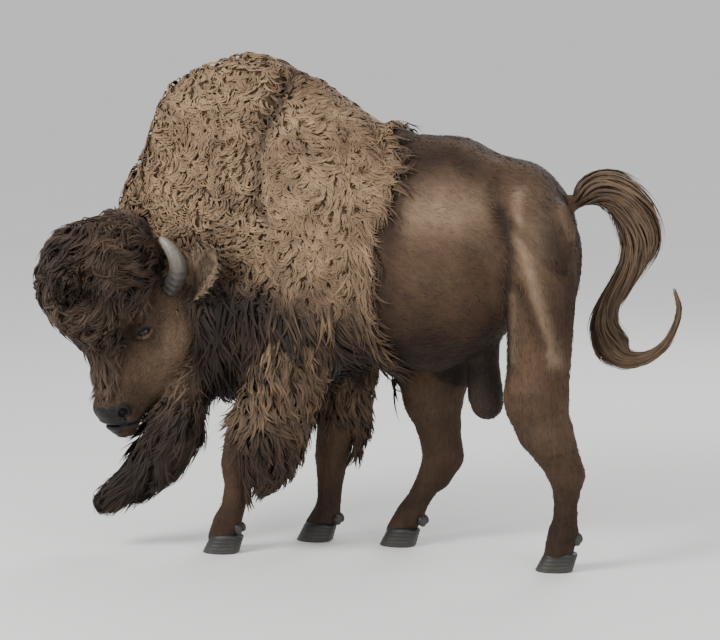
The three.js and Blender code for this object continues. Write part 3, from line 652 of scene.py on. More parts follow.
def lid_rings(steps: int = 84, rows: int = 16) -> Array:
    """Both lids of one eye as a closed band round the opening: over the lids, and back behind them.

    Args:
        steps: Rings round the opening.
        rows: Corners from the lid's margin out to the cheek.

    Returns:
        Ring by corner by axis, in the head's axes with l positive.
    """
    turn = circle(steps)[:, None]
    share = np.linspace(0, 1, rows)[None]
    tall = np.where(np.sin(turn) > 0, EYE.upper, EYE.lower) * np.abs(np.sin(turn)) ** 1.15
    wide = EYE.half_width * (1 + EYE.spread * share**1.2)
    high = np.where(np.sin(turn) > 0, 1, -1) * tall * (1 - share) + np.sin(turn) * 0.034 * share**1.1
    side = np.cos(turn) * wide * (1 - 0.18 * share)
    flat = np.hypot(side, high)
    angle = np.minimum(flat / 0.031, 1.35)
    radial = np.stack([side, high], -1) / np.maximum(flat, 1e-6)[..., None]
    way = np.cos(angle)[..., None] * EYE_OUT + np.sin(angle)[..., None] * (
        radial[..., :1] * EYE_LONG + radial[..., 1:] * EYE_UP
    )
    upper = smooth_step(np.sin(turn) / 0.5)
    on_ball = EYE.ball + EYE.margin * np.sqrt(np.minimum(share / 0.06, 1))
    over = 0.0012 - 0.0040 * ramp(share, 0.72, 0.28)
    reach = on_ball + (cheek_reach(way) + over - on_ball) * ramp(share, 0.08, 0.6)
    crease = 0.0022 * upper * bump(share, 0.34, 0.06) + 0.0012 * (1 - upper) * bump(share, 0.3, 0.05)
    crease = crease + 0.0009 * (1 - upper) * bump(share, 0.52, 0.05)
    swell = 0.0022 * upper * bump(share, 0.16, 0.09) + 0.0020 * (1 - upper) * bump(share, 0.14, 0.08)
    wrinkles = 0.0005 * np.sin(turn * 21 + 4 * share) * bump(share, 0.6, 0.2)
    front = EYE_AT + way * (reach + swell - crease + wrinkles)[..., None]
    behind = np.minimum(reach, EYE.ball + 0.0004 + 0.004 * share) - 0.0012 * (share > 0)
    back = EYE_AT + way * behind[..., None]
    back[:, 0] = EYE_AT + way[:, 0] * (EYE.ball - 0.0006)
    return np.concatenate([front, back[:, ::-1]], 1)


def tail_rows() -> Array:
    """The tail's fleshy core, in millimetres."""
    rows = np.array(TAIL_MM, float)
    rows[:, 3] = np.clip(rows[:, 3] * 0.55, 15, 31)
    rows[:2, 3] = (30, 26)
    rows[-1, 3] = 12
    return rows


def beard_rows() -> Array:
    """The dense middle of the beard, in millimetres."""
    rows = np.array(BEARD_MM[:6], float)
    rows[:, 3] *= (0.72, 0.68, 0.66, 0.54, 0.32, 0.2)
    rows[:, :2] += ((-18, 22), (-8, 14), (8, 8), (22, 0), (14, 0), (0, 0))
    return rows


def part_box(rows_mm: Array) -> tuple[Array, Array]:
    """The lowest and highest corner that a chain can reach."""
    rows = np.array(rows_mm, float) * MM
    return (rows[:, :3] - rows[:, 3:]).min(0), (rows[:, :3] + rows[:, 3:]).max(0)


def body_parts() -> list[BodyPart]:
    """Every part of the skin, in the order in which the parts are joined."""
    low, high = (np.array(corner) * MM for corner in TRUNK_BOX_MM)
    parts = [BodyPart(Zone.TRUNK, TRUNK.field, low, high, 0.05)]

    def add(zone: Zone, rows: Array, flatten: float, join: float) -> None:
        """Adds one chain."""
        low, high = part_box(rows)
        parts.append(BodyPart(zone, lambda p: chain(p, rows, flatten), low, high, join))

    for side, (_, sign) in enumerate(SIDES):
        add(Zone.TRUNK, on_side(THIGH_MM[side], sign), 1.12, 0.055)
        add(Zone.SLEEVE, on_side(SHOULDER_MM[side], sign), 1.3, 0.06)
    for side, (_, sign) in enumerate(SIDES):
        add(Zone.LEG, on_side(SHANK_MM[side], sign), 1.1, 0.034)
        add(Zone.LEG, on_side(HOCK_MM[side], sign), 1.12, 0.02)
        add(Zone.LEG, on_side(SHIN_MM[side], sign), 1.12, 0.02)
    add(Zone.SCROTUM, SCROTUM_MM, 1.15, 0.024)
    add(Zone.TAIL, tail_rows(), 1.3, 0.03)
    add(Zone.BEARD, beard_rows(), 1.25, 0.04)
    for zone, field, place, reach, join in (
        (Zone.HEAD, head_field, (0.3, 0, -0.1), 0.4, 0.05),
        (Zone.BONNET, bonnet_field, (0.2, 0, 0.08), 0.36, 0.03),
    ):
        middle = from_head(place)
        parts.append(BodyPart(zone, field, middle - reach, middle + reach, join))
    return parts


PARTS = body_parts()


def haunch_relief(p: Array) -> Array:
    """How deep the muscles' hollows are at each point of the near haunch."""
    depth = np.zeros(len(p))
    near = in_box(p, RELIEF_BOX)
    spot = p[near][:, [0, 2]]
    total = np.zeros(len(spot))
    for row in np.array(HAUNCH_RELIEF_MM) * MM:
        start, end, width, amount = row[:2], row[2:4], row[4], row[5]
        way = end - start
        share = np.clip((spot - start) @ way / (way @ way), 0, 1)
        total += amount * bell(lengths(spot - start - share[:, None] * way) / width)
    depth[near] = total * smooth_step((-p[near, 1] - 0.06) / 0.1)
    return depth


def skin_field(p: Array) -> Array:
    """Distance to the whole skin."""
    d = PARTS[0].distance(p)
    for part in PARTS[1:]:
        d = smooth_min(d, part.distance(p), part.join)
    return d + haunch_relief(p)


def zones_at(p: Array) -> Array:
    """The zone of the part nearest each point."""
    nearest = np.stack([part.distance(p) for part in PARTS]).argmin(0)
    return np.array([part.zone for part in PARTS])[nearest]


def slope_of(field: Field, p: Array, step: float = 0.0015) -> tuple[Array, Array]:
    """A field's value and gradient at each point."""
    value = field(p)
    grad = np.stack([field(p + step * axis) - value for axis in np.eye(3)], axis=1) / step
    return value, grad


# ---- meshing


class DistanceGrid:
    """The skin's field on a box of points, fine round the head, read by interpolation."""

    # Spacing, spacing round the head, and how near the skin the field is worked out point by point.
    COARSE, FINE, BAND = 0.024, 0.0075, 0.06
    LOW, HIGH = (-1.06, -0.46, -0.02), (1.2, 0.46, 1.86)
    FINE_LOW, FINE_HIGH = (-0.89, -0.43, 0.41), (-0.5, 0.0, 0.95)

    def __init__(self) -> None:
        """Fills the grid: everywhere roughly, and exactly near the skin."""
        self.axes = [self.axis(k) for k in range(3)]
        rough = [axis[:: 3 if k else 2] for k, axis in enumerate(self.axes)]
        rough = [np.union1d(part, axis[-1:]) for part, axis in zip(rough, self.axes)]
        points = np.stack(np.meshgrid(*rough, indexing="ij"), -1).reshape(-1, 3)
        values = self.filled(points).reshape([len(axis) for axis in rough])
        for k, (coarse, fine) in enumerate(zip(rough, self.axes)):
            at = np.interp(fine, coarse, np.arange(len(coarse)))
            low = np.minimum(at.astype(int), len(coarse) - 2)
            share = (at - low).reshape([-1 if j == k else 1 for j in range(3)])
            values = values.take(low, axis=k) * (1 - share) + values.take(low + 1, axis=k) * share
        near = np.argwhere(np.abs(values) < self.BAND)
        exact = np.stack([axis[near[:, k]] for k, axis in enumerate(self.axes)], -1)
        values[tuple(near.T)] = self.filled(exact)
        self.values = values

    def axis(self, k: int) -> Array:
        """Grid lines along one axis, closer together across the head."""
        low, high, first, last = self.LOW[k], self.HIGH[k], self.FINE_LOW[k], self.FINE_HIGH[k]
        before = np.linspace(low, first, round((first - low) / self.COARSE), endpoint=False)
        middle = np.linspace(first, last, round((last - first) / self.FINE), endpoint=False)
        return np.r_[before, middle, np.linspace(last, high, round((high - last) / self.COARSE) + 1)]

    @staticmethod
    def filled(points: Array) -> Array:
        """The skin's field at many points, a block at a time."""
        blocks = range(0, len(points), 1 << 18)
        return np.concatenate([skin_field(points[i : i + (1 << 18)]) for i in blocks])

    def value(self, p: Array) -> Array:
        """The distance to the skin, between the grid's points."""
        corner, share = [], []
        for k, axis in enumerate(self.axes):
            at = np.interp(p[:, k], axis, np.arange(len(axis)))
            low = np.minimum(at.astype(int), len(axis) - 2)
            corner.append(low)
            share.append(at - low)
        total = np.zeros(len(p))
        for step in np.ndindex(2, 2, 2):
            weight = np.prod([share[k] if step[k] else 1 - share[k] for k in range(3)], axis=0)
            total += weight * self.values[tuple(corner[k] + step[k] for k in range(3))]
        return total

    def normal(self, p: Array, step: float = 0.009) -> Array:
        """The way out of the body at each point."""
        axes = np.eye(3) * step
        return unit(np.stack([self.value(p + a) - self.value(p - a) for a in axes], axis=1))


def surface_net(axes: Sequence[Array], values: Array) -> tuple[Array, Array]:
    """The closed surface where values on a grid cross zero.

    Args:
        axes: The grid lines along X, Y and Z.
        values: One number a grid point, negative inside.

    Returns:
        Corners, and faces of four corners each, facing out.
    """
    inside = values < 0
    count = [n - 1 for n in values.shape]
    mixed = np.zeros(count, int)
    for step in np.ndindex(2, 2, 2):
        mixed += inside[tuple(slice(s, s + n) for s, n in zip(step, count))]
    cells = np.argwhere((mixed > 0) & (mixed < 8))
    owner = np.full(count, -1)
    owner[tuple(cells.T)] = np.arange(len(cells))
    total, crossings = np.zeros((len(cells), 3)), np.zeros(len(cells))
    for k in range(3):
        for step in np.ndindex(2, 2):
            start = cells + np.insert(step, k, 0)
            end = start + np.eye(3, dtype=int)[k]
            a, b = values[tuple(start.T)], values[tuple(end.T)]
            crossed = (a < 0) != (b < 0)
            share = np.where(crossed, a / np.where(crossed, a - b, 1), 0)
            first = np.stack([axes[j][start[:, j]] for j in range(3)], -1)
            last = np.stack([axes[j][end[:, j]] for j in range(3)], -1)
            total += np.where(crossed[:, None], first + (last - first) * share[:, None], 0)
            crossings += crossed
    return total / crossings[:, None], net_faces(inside, owner)


def net_faces(inside: Array, owner: Array) -> Array:
    """The faces of a surface net, one round each grid edge that crosses the surface.

    Args:
        inside: True for each grid point inside.
        owner: The corner that each cell of the grid holds.

    Returns:
        Faces of four corners each, facing out.
    """
    faces = []
    for k in range(3):
        i, j = [axis for axis in range(3) if axis != k]
        here = inside[tuple(slice(1, -1) if axis != k else slice(0, -1) for axis in range(3))]
        ahead = inside[tuple(slice(1, -1) if axis != k else slice(1, None) for axis in range(3))]
        edges = np.argwhere(here != ahead)
        entering = ahead[tuple(edges.T)]
        around = []
        for di, dj in ((0, 0), (1, 0), (1, 1), (0, 1)):
            cell = edges.copy()
            cell[:, i] += di
            cell[:, j] += dj
            around.append(owner[tuple(cell.T)])
        quad = np.stack(around, -1)
        turned = entering if k != 1 else ~entering
        quad[turned] = quad[turned][:, ::-1]
        faces.append(quad)
    return np.concatenate(faces)


def linked(name: str, data: bpy.types.ID) -> Piece:
    """A new object, put in the scene."""
    piece = bpy.data.objects.new(name, data)
    bpy.context.scene.collection.objects.link(piece)
    return piece


class MeshMaker:
    """Turns arrays into Blender meshes on the frame."""

    def __init__(self, shift: Array) -> None:
        """Keeps the shift from the drawing axes to the frame.

        Args:
            shift: What is added to each point, in metres.
        """
        self.shift = shift

    def build(
        self, name: str, corners: Array, faces: Sequence[Array], uv: Array | None = None,
        notes: dict[str, Array] | None = None, normals: Array | None = None,
    ) -> Piece:
        """Makes one object and links it to the scene.

        Args:
            name: The piece's name.
            corners: Its points in the drawing axes.
            faces: Arrays of faces, each with its own number of corners a face.
            uv: One place a face corner, in the order of the faces.
            notes: Named vectors, one a point, which the finishes read.
            normals: The way that each point is shaded as facing, where it isn't its faces' own.

        Returns:
            The object.
        """
        mesh = bpy.data.meshes.new(name)
        loops = np.concatenate([f.ravel() for f in faces]).astype(np.int32)
        sizes = np.concatenate([np.full(len(f), f.shape[1]) for f in faces]).astype(np.int32)
        mesh.vertices.add(len(corners))
        mesh.vertices.foreach_set("co", (corners + self.shift).astype(np.float32).ravel())
        if len(sizes):
            mesh.loops.add(len(loops))
            mesh.loops.foreach_set("vertex_index", loops)
            mesh.polygons.add(len(sizes))
            mesh.polygons.foreach_set("loop_start", np.r_[0, np.cumsum(sizes)[:-1]].astype(np.int32))
            mesh.polygons.foreach_set("loop_total", sizes)
        mesh.update(calc_edges=True)
        mesh.validate()
        if uv is not None:
            layer = mesh.uv_layers.new(name="OFBake")
            layer.uv.foreach_set("vector", uv.astype(np.float32).ravel())
        for note, values in (notes or {}).items():
            mesh.attributes.new(note, "FLOAT_VECTOR", "POINT")
            mesh.attributes[note].data.foreach_set("vector", values.astype(np.float32).ravel())
        mesh.shade_smooth()
        if normals is not None:
            mesh.normals_split_custom_set_from_vertices(normals.tolist())
        return linked(name, mesh)


def volume_of(corners: Array, faces: Array) -> float:
    """Six times the volume under a set of faces, positive where they face out of a closed shape."""
    v = corners[faces] - corners.mean(0)
    pairs = ((v[:, k], v[:, k + 1]) for k in range(1, faces.shape[1] - 1))
    return sum(float(np.einsum("ij,ij->", v[:, 0], np.cross(*pair))) for pair in pairs)


def loft(rings: Array, closed: bool = False) -> tuple[Array, Array, Array]:
    """A closed shape through rings of corners, with a fan over each end.

    Args:
        rings: Ring by corner by axis.
        closed: The last ring joins the first, and there are no ends.

    Returns:
        Corners, faces of four and faces of three, all facing out.
    """
    count, sides = rings.shape[:2]
    grid = np.meshgrid(range(count - (not closed)), range(sides), indexing="ij")
    ring, side = (part.ravel() for part in grid)
    ahead, beside = (ring + 1) % count * sides, (side + 1) % sides
    quads = np.stack([ring * sides + side, ring * sides + beside, ahead + beside, ahead + side], -1)
    corners, fans = rings.reshape(-1, 3), np.zeros((0, 3), int)
    if not closed:
        corners = np.vstack([corners, rings[0].mean(0), rings[-1].mean(0)])
        side, last = np.arange(sides), (count - 1) * sides
        first_fan = np.stack([np.full(sides, last + sides), (side + 1) % sides, side], -1)
        last_fan = np.stack([np.full(sides, last + sides + 1), last + side, last + (side + 1) % sides], -1)
        fans = np.concatenate([first_fan, last_fan])
    if volume_of(corners, quads) + volume_of(corners, fans) < 0:
        quads, fans = quads[:, ::-1], fans[:, ::-1]
    return corners, quads, fans


def neighbours_mean(corners: Array, faces: Array) -> Array:
    """The middle of each corner's neighbours round its faces."""
    total, count = np.zeros_like(corners), np.zeros(len(corners))
    for k in range(faces.shape[1]):
        a, b = faces[:, k], faces[:, (k + 1) % faces.shape[1]]
        for here, other in ((a, b), (b, a)):
            for axis in range(3):
                total[:, axis] += np.bincount(here, corners[other, axis], len(corners))
            count += np.bincount(here, minlength=len(corners))
    return total / np.maximum(count, 1)[:, None]


def settled(corners: Array, faces: Array, rounds: int, reach: float) -> Array:
    """Corners evened out along the skin and pulled back onto its field.

    Args:
        corners: The points to move.
        faces: The faces round them.
        rounds: How many times.
        reach: The furthest one pull moves a point.

    Returns:
        The moved points.
    """
    for _ in range(rounds):
        corners = corners + 0.5 * (neighbours_mean(corners, faces) - corners)
        value, grad = slope_of(skin_field, corners)
        pull = value[:, None] * grad / np.maximum(np.square(grad).sum(1), 0.2)[:, None]
        size = lengths(pull)[:, None]
        corners = corners - pull * np.minimum(1, reach / np.maximum(size, 1e-9))
    return corners


# ---- materials


class Wire:
    """A node's output socket, with arithmetic that adds Math nodes."""

    def __init__(self, tree: bpy.types.NodeTree, socket: bpy.types.NodeSocket) -> None:
        """Wraps a socket of a tree."""
        self.tree, self.socket = tree, socket

    @staticmethod
    def operator(name: str, flipped: bool = False) -> Callable[[Wire, Wire | float], Wire]:
        """A method that adds the Math node of one operator, its two values swapped if flipped."""
        def apply(self: Wire, other: Wire | float) -> Wire:
            """The Math node's result."""
            pair = (other, self) if flipped else (self, other)
            return Nodes(self.tree).add("ShaderNodeMath", {"operation": name}, dict(enumerate(pair)))

        return apply

    __add__ = __radd__ = operator("ADD")
    __mul__ = __rmul__ = operator("MULTIPLY")
    __sub__, __rsub__ = operator("SUBTRACT"), operator("SUBTRACT", True)
    __pow__ = operator("POWER")


class Nodes:
    """Adds nodes to one tree."""

    def __init__(self, tree: bpy.types.NodeTree) -> None:
        """Keeps the tree."""
        self.tree = tree

    def add(
        self, kind: str, settings: dict[str, object] | None = None,
        inputs: dict[int | str, object] | None = None, output: int | str = 0,
    ) -> Wire:
        """One node, set and linked.

        Args:
            kind: The node's type.
            settings: Its own settings.
            inputs: A value or a Wire for each socket.
            output: Which output the Wire returned stands for.

        Returns:
            The chosen output.
        """
        node = self.tree.nodes.new(kind)
        for name, value in (settings or {}).items():
            setattr(node, name, value)
        self.feed(node, inputs or {})
        return Wire(self.tree, node.outputs[output] if node.outputs else None)

    def feed(self, node: bpy.types.Node, inputs: dict[int | str, object]) -> None:
        """Sets a node's inputs, or links them to Wires."""
        for name, value in inputs.items():
            if isinstance(value, Wire):
                self.tree.links.new(value.socket, node.inputs[name])
            else:
                node.inputs[name].default_value = value

    def note(self, name: str, axis: int) -> Wire:
        """One number of a named vector that the mesh carries."""
        vector = self.add("ShaderNodeAttribute", {"attribute_name": name}, output="Vector")
        return self.add("ShaderNodeSeparateXYZ", {}, {0: vector}, axis)

    def noise(self, scale: float, detail: float = 3, vector: Wire | None = None, rough: float = 0.55) -> Wire:
        """A noise pattern on Object coordinates, or on a vector."""
        place = vector or self.add("ShaderNodeTexCoord", output="Object")
        values = {"Vector": place, "Scale": scale, "Detail": detail, "Roughness": rough}
        return self.add("ShaderNodeTexNoise", {}, values)

    def mix(self, share: Wire | float, a: object, b: object) -> Wire:
        """One colour turning into another."""
        return self.add("ShaderNodeMix", {"data_type": "RGBA"}, {0: share, 6: a, 7: b}, 2)

    def between(self, value: Wire, low: float, high: float, start: float = 0, end: float = 1) -> Wire:
        """A value carried from one range to another, and held inside it."""
        return self.add("ShaderNodeMapRange", {}, {0: value, 1: low, 2: high, 3: start, 4: end})

    def shade(self, colour: Wire, amount: Wire) -> Wire:
        """A colour made lighter or darker by a number."""
        scale = self.add("ShaderNodeCombineXYZ", {}, {0: amount, 1: amount, 2: amount})
        return self.add("ShaderNodeVectorMath", {"operation": "MULTIPLY"}, {0: colour, 1: scale})

    def bump(self, height: Wire, strength: float, distance: float) -> Wire:
        """A bumpy normal."""
        return self.add("ShaderNodeBump", {}, {"Height": height, "Strength": strength, "Distance": distance})


COMB_TURNS = (0.0, math.radians(-52), math.radians(-90))
COMB_WAYS = tuple((-math.sin(turn), 0.0, -math.cos(turn)) for turn in COMB_TURNS)


def rgba(colour: Sequence[float]) -> tuple[float, float, float, float]:
    """A colour with full alpha."""
    return (*colour, 1.0)


class Paint(Nodes):
    """The nodes of one new material, which end in its main shader."""

    def __init__(self, name: str, inputs: dict[int | str, object]) -> None:
        """Makes the material and sets its shader's plain inputs."""
        self.material = bpy.data.materials.new(name)
        self.material.use_nodes = True
        super().__init__(self.material.node_tree)
        self.finish(inputs)

    def finish(self, inputs: dict[int | str, object]) -> Material:
        """Feeds the shader, and gives the material."""
        self.feed(self.tree.nodes["Principled BSDF"], inputs)
        return self.material


@dataclass(frozen=True)
class HairFinish:
    """The finish of skin and coat, which share the same coat colours, painted shade and painted highlights; each
    pair of colours is light and shaded.
    """

    sleek: Rows = ((0.082, 0.048, 0.028), (0.052, 0.030, 0.018))
    wool: Rows = ((0.275, 0.180, 0.104), (0.140, 0.086, 0.049))
    # The dark and pale colours give darker and paler hair, and also painted shade and painted highlights.
    dark: Rows = ((0.034, 0.020, 0.013), (0.014, 0.009, 0.007))
    pale: Rows = ((0.270, 0.190, 0.125), (0.200, 0.135, 0.085))
    bare: Rows = ((0.024, 0.021, 0.021), (0.010, 0.009, 0.009))
    roughness: float = 0.62

    def marks_and_shading(self, nodes: Nodes) -> Wire:
        """The colour that the coat's own tones, its painted shade and its painted highlights give a place."""
        patches = nodes.between(nodes.noise(5.0, 4), 0.35, 0.65)
        colour = self.pair(nodes, self.sleek, patches)
        for axis, pair in enumerate((self.wool, self.dark, self.pale)):
            colour = nodes.mix(nodes.note("marks_and_shading", axis), colour, self.pair(nodes, pair, patches))
        return colour

    @staticmethod
    def pair(nodes: Nodes, pair: Rows, share: Wire) -> Wire:
        """A colour between a light and a shaded one."""
        return nodes.mix(share, rgba(pair[1]), rgba(pair[0]))

    def coat(self, name: str, root: float, spread: float) -> Material:
        """Locks of hair: darker at the root, as painted shade deep in the coat and as sun-bleached tips, each a
        little different, with fine strands along it.

        Args:
            name: The material's name.
            root: How bright the roots are beside the tips.
            spread: How much locks and strands differ.

        Returns:
            The material.
        """
        nodes = Paint(name, {"Specular IOR Level": 0.22, "Sheen Weight": 0.03, "Sheen Roughness": 0.4})
        along, chance, across = (nodes.note("strand", k) for k in range(3))
        strand = nodes.add("ShaderNodeCombineXYZ", {}, {0: across * 7.0, 1: along * 0.9, 2: chance * 61.0})
        streaks = nodes.noise(2.2, 3, strand)
        tufts = nodes.noise(17.0, 2)
        # Roots darker than tips where root is below one: painted shade deep in the coat, and sun-bleached tips.
        amount = nodes.between(along, 0.0, 0.8, root, 1.0 + 0.12 * spread)
        amount = amount * nodes.between(chance, 0, 1, 1 - 0.3 * spread, 1 + 0.26 * spread)
        amount = amount * nodes.between(streaks, 0.3, 0.7, 1 - 0.32 * spread, 1 + 0.28 * spread)
        amount = amount * nodes.between(tufts, 0.35, 0.65, 1 - 0.2 * spread, 1 + 0.16 * spread)
        return nodes.finish({
            "Base Color": nodes.shade(self.marks_and_shading(nodes), amount),
            "Roughness": nodes.between(chance, 0, 1, self.roughness - 0.1, self.roughness + 0.08),
            "Normal": nodes.bump(streaks, 0.5, 0.002),
        })

    def skin(self) -> Material:
        """Short fur that lies flat, and the bare skin of nose, lids and ears."""
        nodes = Paint("short_fur", {"Specular IOR Level": 0.12})
        place = nodes.add("ShaderNodeTexCoord", output="Object")
        fur: Wire | float = 0.0
        clumps: Wire | float = 0.0
        for k, turn in enumerate(COMB_TURNS):
            values = {"Vector": place, "Rotation": (0.0, turn, 0.0), "Scale": (1.0, 1.0, 6.0)}
            combed = nodes.add("ShaderNodeMapping", {"vector_type": "TEXTURE"}, values)
            share = nodes.note("comb", k)
            fur = fur + share * nodes.noise(230.0, 4, combed, 0.62)
            clumps = clumps + share * nodes.noise(52.0, 3, combed, 0.6)
        wool = nodes.note("marks_and_shading", 0)
        amount = nodes.between(fur, 0.25, 0.75, 0.68, 1.28) * nodes.between(clumps, 0.3, 0.7, 0.82, 1.18)
        amount = amount * nodes.between(wool, 0, 1, 1.0, 0.7)
        colour = nodes.shade(self.marks_and_shading(nodes), amount)
        bare = nodes.note("bare", 0)
        pebbles = nodes.add("ShaderNodeTexVoronoi", {"feature": "SMOOTH_F1"}, {"Scale": 330.0})
        # Paler on the pebbles and darker in the grooves between them: painted shade.
        nose = self.pair(nodes, self.bare[::-1], nodes.between(pebbles, 0.1, 0.6))
        wet = nodes.between(bare, 0, 1, self.roughness + 0.12, 0.40)
        height = fur * (1 - bare) + nodes.between(pebbles, 0.0, 0.7, 0.55, 0.2) * bare + clumps * 0.8
        return nodes.finish({
            "Base Color": nodes.mix(bare, colour, nose),
            "Roughness": wet * nodes.between(nodes.noise(60.0, 2), 0.3, 0.7, 0.88, 1.12),
            "Normal": nodes.bump(height, 0.55, 0.004),
        })


@dataclass(frozen=True)
class HornFinish:
    """Horn and hoof: dark, fibrous, ringed across, and worn smooth and paler where it rubs."""

    name: str
    deep: Sequence[float]
    worn: Sequence[float]
    roughness: float

    def material(self) -> Material:
        """The material, which reads how far along the horn or down the hoof a place lies."""
        nodes = Paint(self.name, {"Specular IOR Level": 0.45})
        along, turn = nodes.note("growth", 0), nodes.note("growth", 1)
        grain = nodes.add("ShaderNodeCombineXYZ", {}, {0: turn * 9.0, 1: along * 2.0})
        fibres = nodes.noise(3.0, 5, grain, 0.65)
        rings = nodes.noise(26.0, 2, nodes.add("ShaderNodeCombineXYZ", {}, {0: along}), 0.5)
        wear = nodes.between(along + fibres * 0.35, 0.45, 1.2)
        colour = nodes.mix(wear, rgba(self.deep), rgba(self.worn))
        shade = nodes.between(fibres, 0.25, 0.75, 0.65, 1.35) * nodes.between(rings, 0.3, 0.7, 0.8, 1.15)
        return nodes.finish({
            "Base Color": nodes.shade(colour, shade),
            "Roughness": nodes.between(fibres, 0.3, 0.7, self.roughness - 0.1, self.roughness + 0.12),
            "Normal": nodes.bump(fibres + rings * 0.7, 0.45, 0.0015),
        })


@dataclass(frozen=True)
class EyeFinish:
    """A dark brown eye with a wide pupil, wet on top."""

    iris: Sequence[float] = (0.034, 0.015, 0.008)
    rim: Sequence[float] = (0.008, 0.006, 0.005)
    pupil: Sequence[float] = (0.0025, 0.0025, 0.003)

    def material(self) -> Material:
        """The material, which reads where a place lies on the eye: along it, up it, and out."""
        nodes = Paint("wet_eye", {"Coat Weight": 0.45, "Coat Roughness": 0.03, "Specular IOR Level": 0.15})
        along, up = nodes.note("growth", 0), nodes.note("growth", 1)
        reach = (along * along + up * up) ** 0.5
        slot = ((along * 0.62) ** 2 + (up * 1.5) ** 2) ** 0.5
        rays = nodes.noise(9.0, 4)
        iris = nodes.mix(nodes.between(rays, 0.3, 0.7), rgba(self.rim), rgba(self.iris))
        colour = nodes.mix(nodes.between(reach, 0.62, 0.72), iris, rgba(self.rim))
        colour = nodes.mix(nodes.between(slot, 0.30, 0.36, 1, 0), colour, rgba(self.pupil))
        return nodes.finish({"Base Color": colour, "Roughness": nodes.between(reach, 0.6, 0.9, 0.12, 0.3)})


# ---- coat colours, painted shade and painted highlights

NAPE_AT, NOSTRIL_AT = np.array([0.05, 0.18, -0.33]), np.array([0.548, 0.078, -0.074])


def ear_rim(q: Array) -> Array:
    """How far a point of the ear lies from its middle line to its rim: 0 to 1."""
    near = q - EAR.base
    share = np.clip(near @ EAR.along / EAR.length, 0, 1)
    across = np.abs(near @ EAR.across) / EAR.half_width(share)
    return np.clip(np.maximum(across, ramp(share, 0.7, 0.3)), 0, 1)


def trunk_marks_and_shading(p: Array) -> Array:
    """How woolly, dark and pale the trunk's coat is at each point, with painted shade in the neck's fold, the
    crease, the haunch's hollows and under the belly, and painted highlights on the flank and haunch.
    """
    x, y, z = p.T
    cape = TRUNK.cape(p)
    level = 0.90 + 0.24 * fall(x, -0.22, 0.16)
    throat = smooth_step((level - z) / 0.2) * fall(x, 0.24, 0.1)
    # Darker behind the ear and jaw, darker hair with painted shade under the head; the fold between neck and
    # shoulder is painted shade.
    nape = bell(lengths(to_head(p) - NAPE_AT) / 0.23)
    neck = 0.3 * fall(x, -0.56, 0.14) + 0.95 * nape + 0.8 * TRUNK.fold_at(p) + 0.12 * ripple(p, 0.09, 21)
    # Darker low on the neck and shoulder and round the foreleg's top: darker hair with painted shade under the
    # hump.
    neck = neck + 0.38 * fall(z, 1.08, 0.3)
    low = z + 0.05 * ripple(p, 0.12, 25) + 0.03 * ripple(p, 0.04, 26)
    neck = neck + 0.58 * fall(low, 1.16, 0.38) * ramp(x, -0.36, 0.16)
    spine = bell(y / 0.06) * ramp(x, 0.25, 0.12) * ramp(z, 1.2, 0.1)
    # Painted shade under the belly.
    belly_shade = fall(z, 1.08, 0.30) * ramp(x, 0.2, 0.1) * fall(x, 0.68, 0.06)
    edge = bell((x - TRUNK.cape_edge(z) - 0.05) / 0.06) * (z > 0.7)
    rump = bump(x, 0.9, 0.09) * 0.5
    # Painted shade in the haunch's hollows, and painted highlight on its swellings.
    relief = np.clip(haunch_relief(p) / 0.014, -1, 1)
    hollow, swelling = np.maximum(relief, 0), np.maximum(-relief, 0)
    band = bell((z - TRUNK.top(x) + 0.075) / 0.05) * ramp(x, 0.2, 0.1) * fall(x, 0.66, 0.08)
    # The rear's dark share: the spine, painted shade under the belly and in the crease, a band behind the cape's
    # edge, the rump, painted shade in the hollows, and a band under the back line.
    rear = (0.8 * spine, 0.98 * belly_shade, TRUNK.crease_at(p), 0.75 * edge, rump, 0.95 * hollow, 0.7 * band)
    wool = cape * (1 - 0.9 * throat)
    dark = np.maximum(cape * np.maximum(throat * 0.93, neck), (1 - cape) * np.maximum.reduce(rear))
    # Painted highlights: a sheen band along the upper flank, a patch on the haunch, and the haunch's swellings.
    sheen = bump(z, 1.27, 0.085) * ramp(x, 0.3, 0.08) * fall(x, 0.66, 0.08)
    haunch = bump(z, 1.2, 0.13) * bump(x, 0.79, 0.055)
    pale = (1 - cape) * (0.6 * sheen + 0.3 * haunch + 0.6 * swelling) * ramp(np.abs(y), 0.1, 0.08)
    return np.stack([wool, dark, pale], 1)


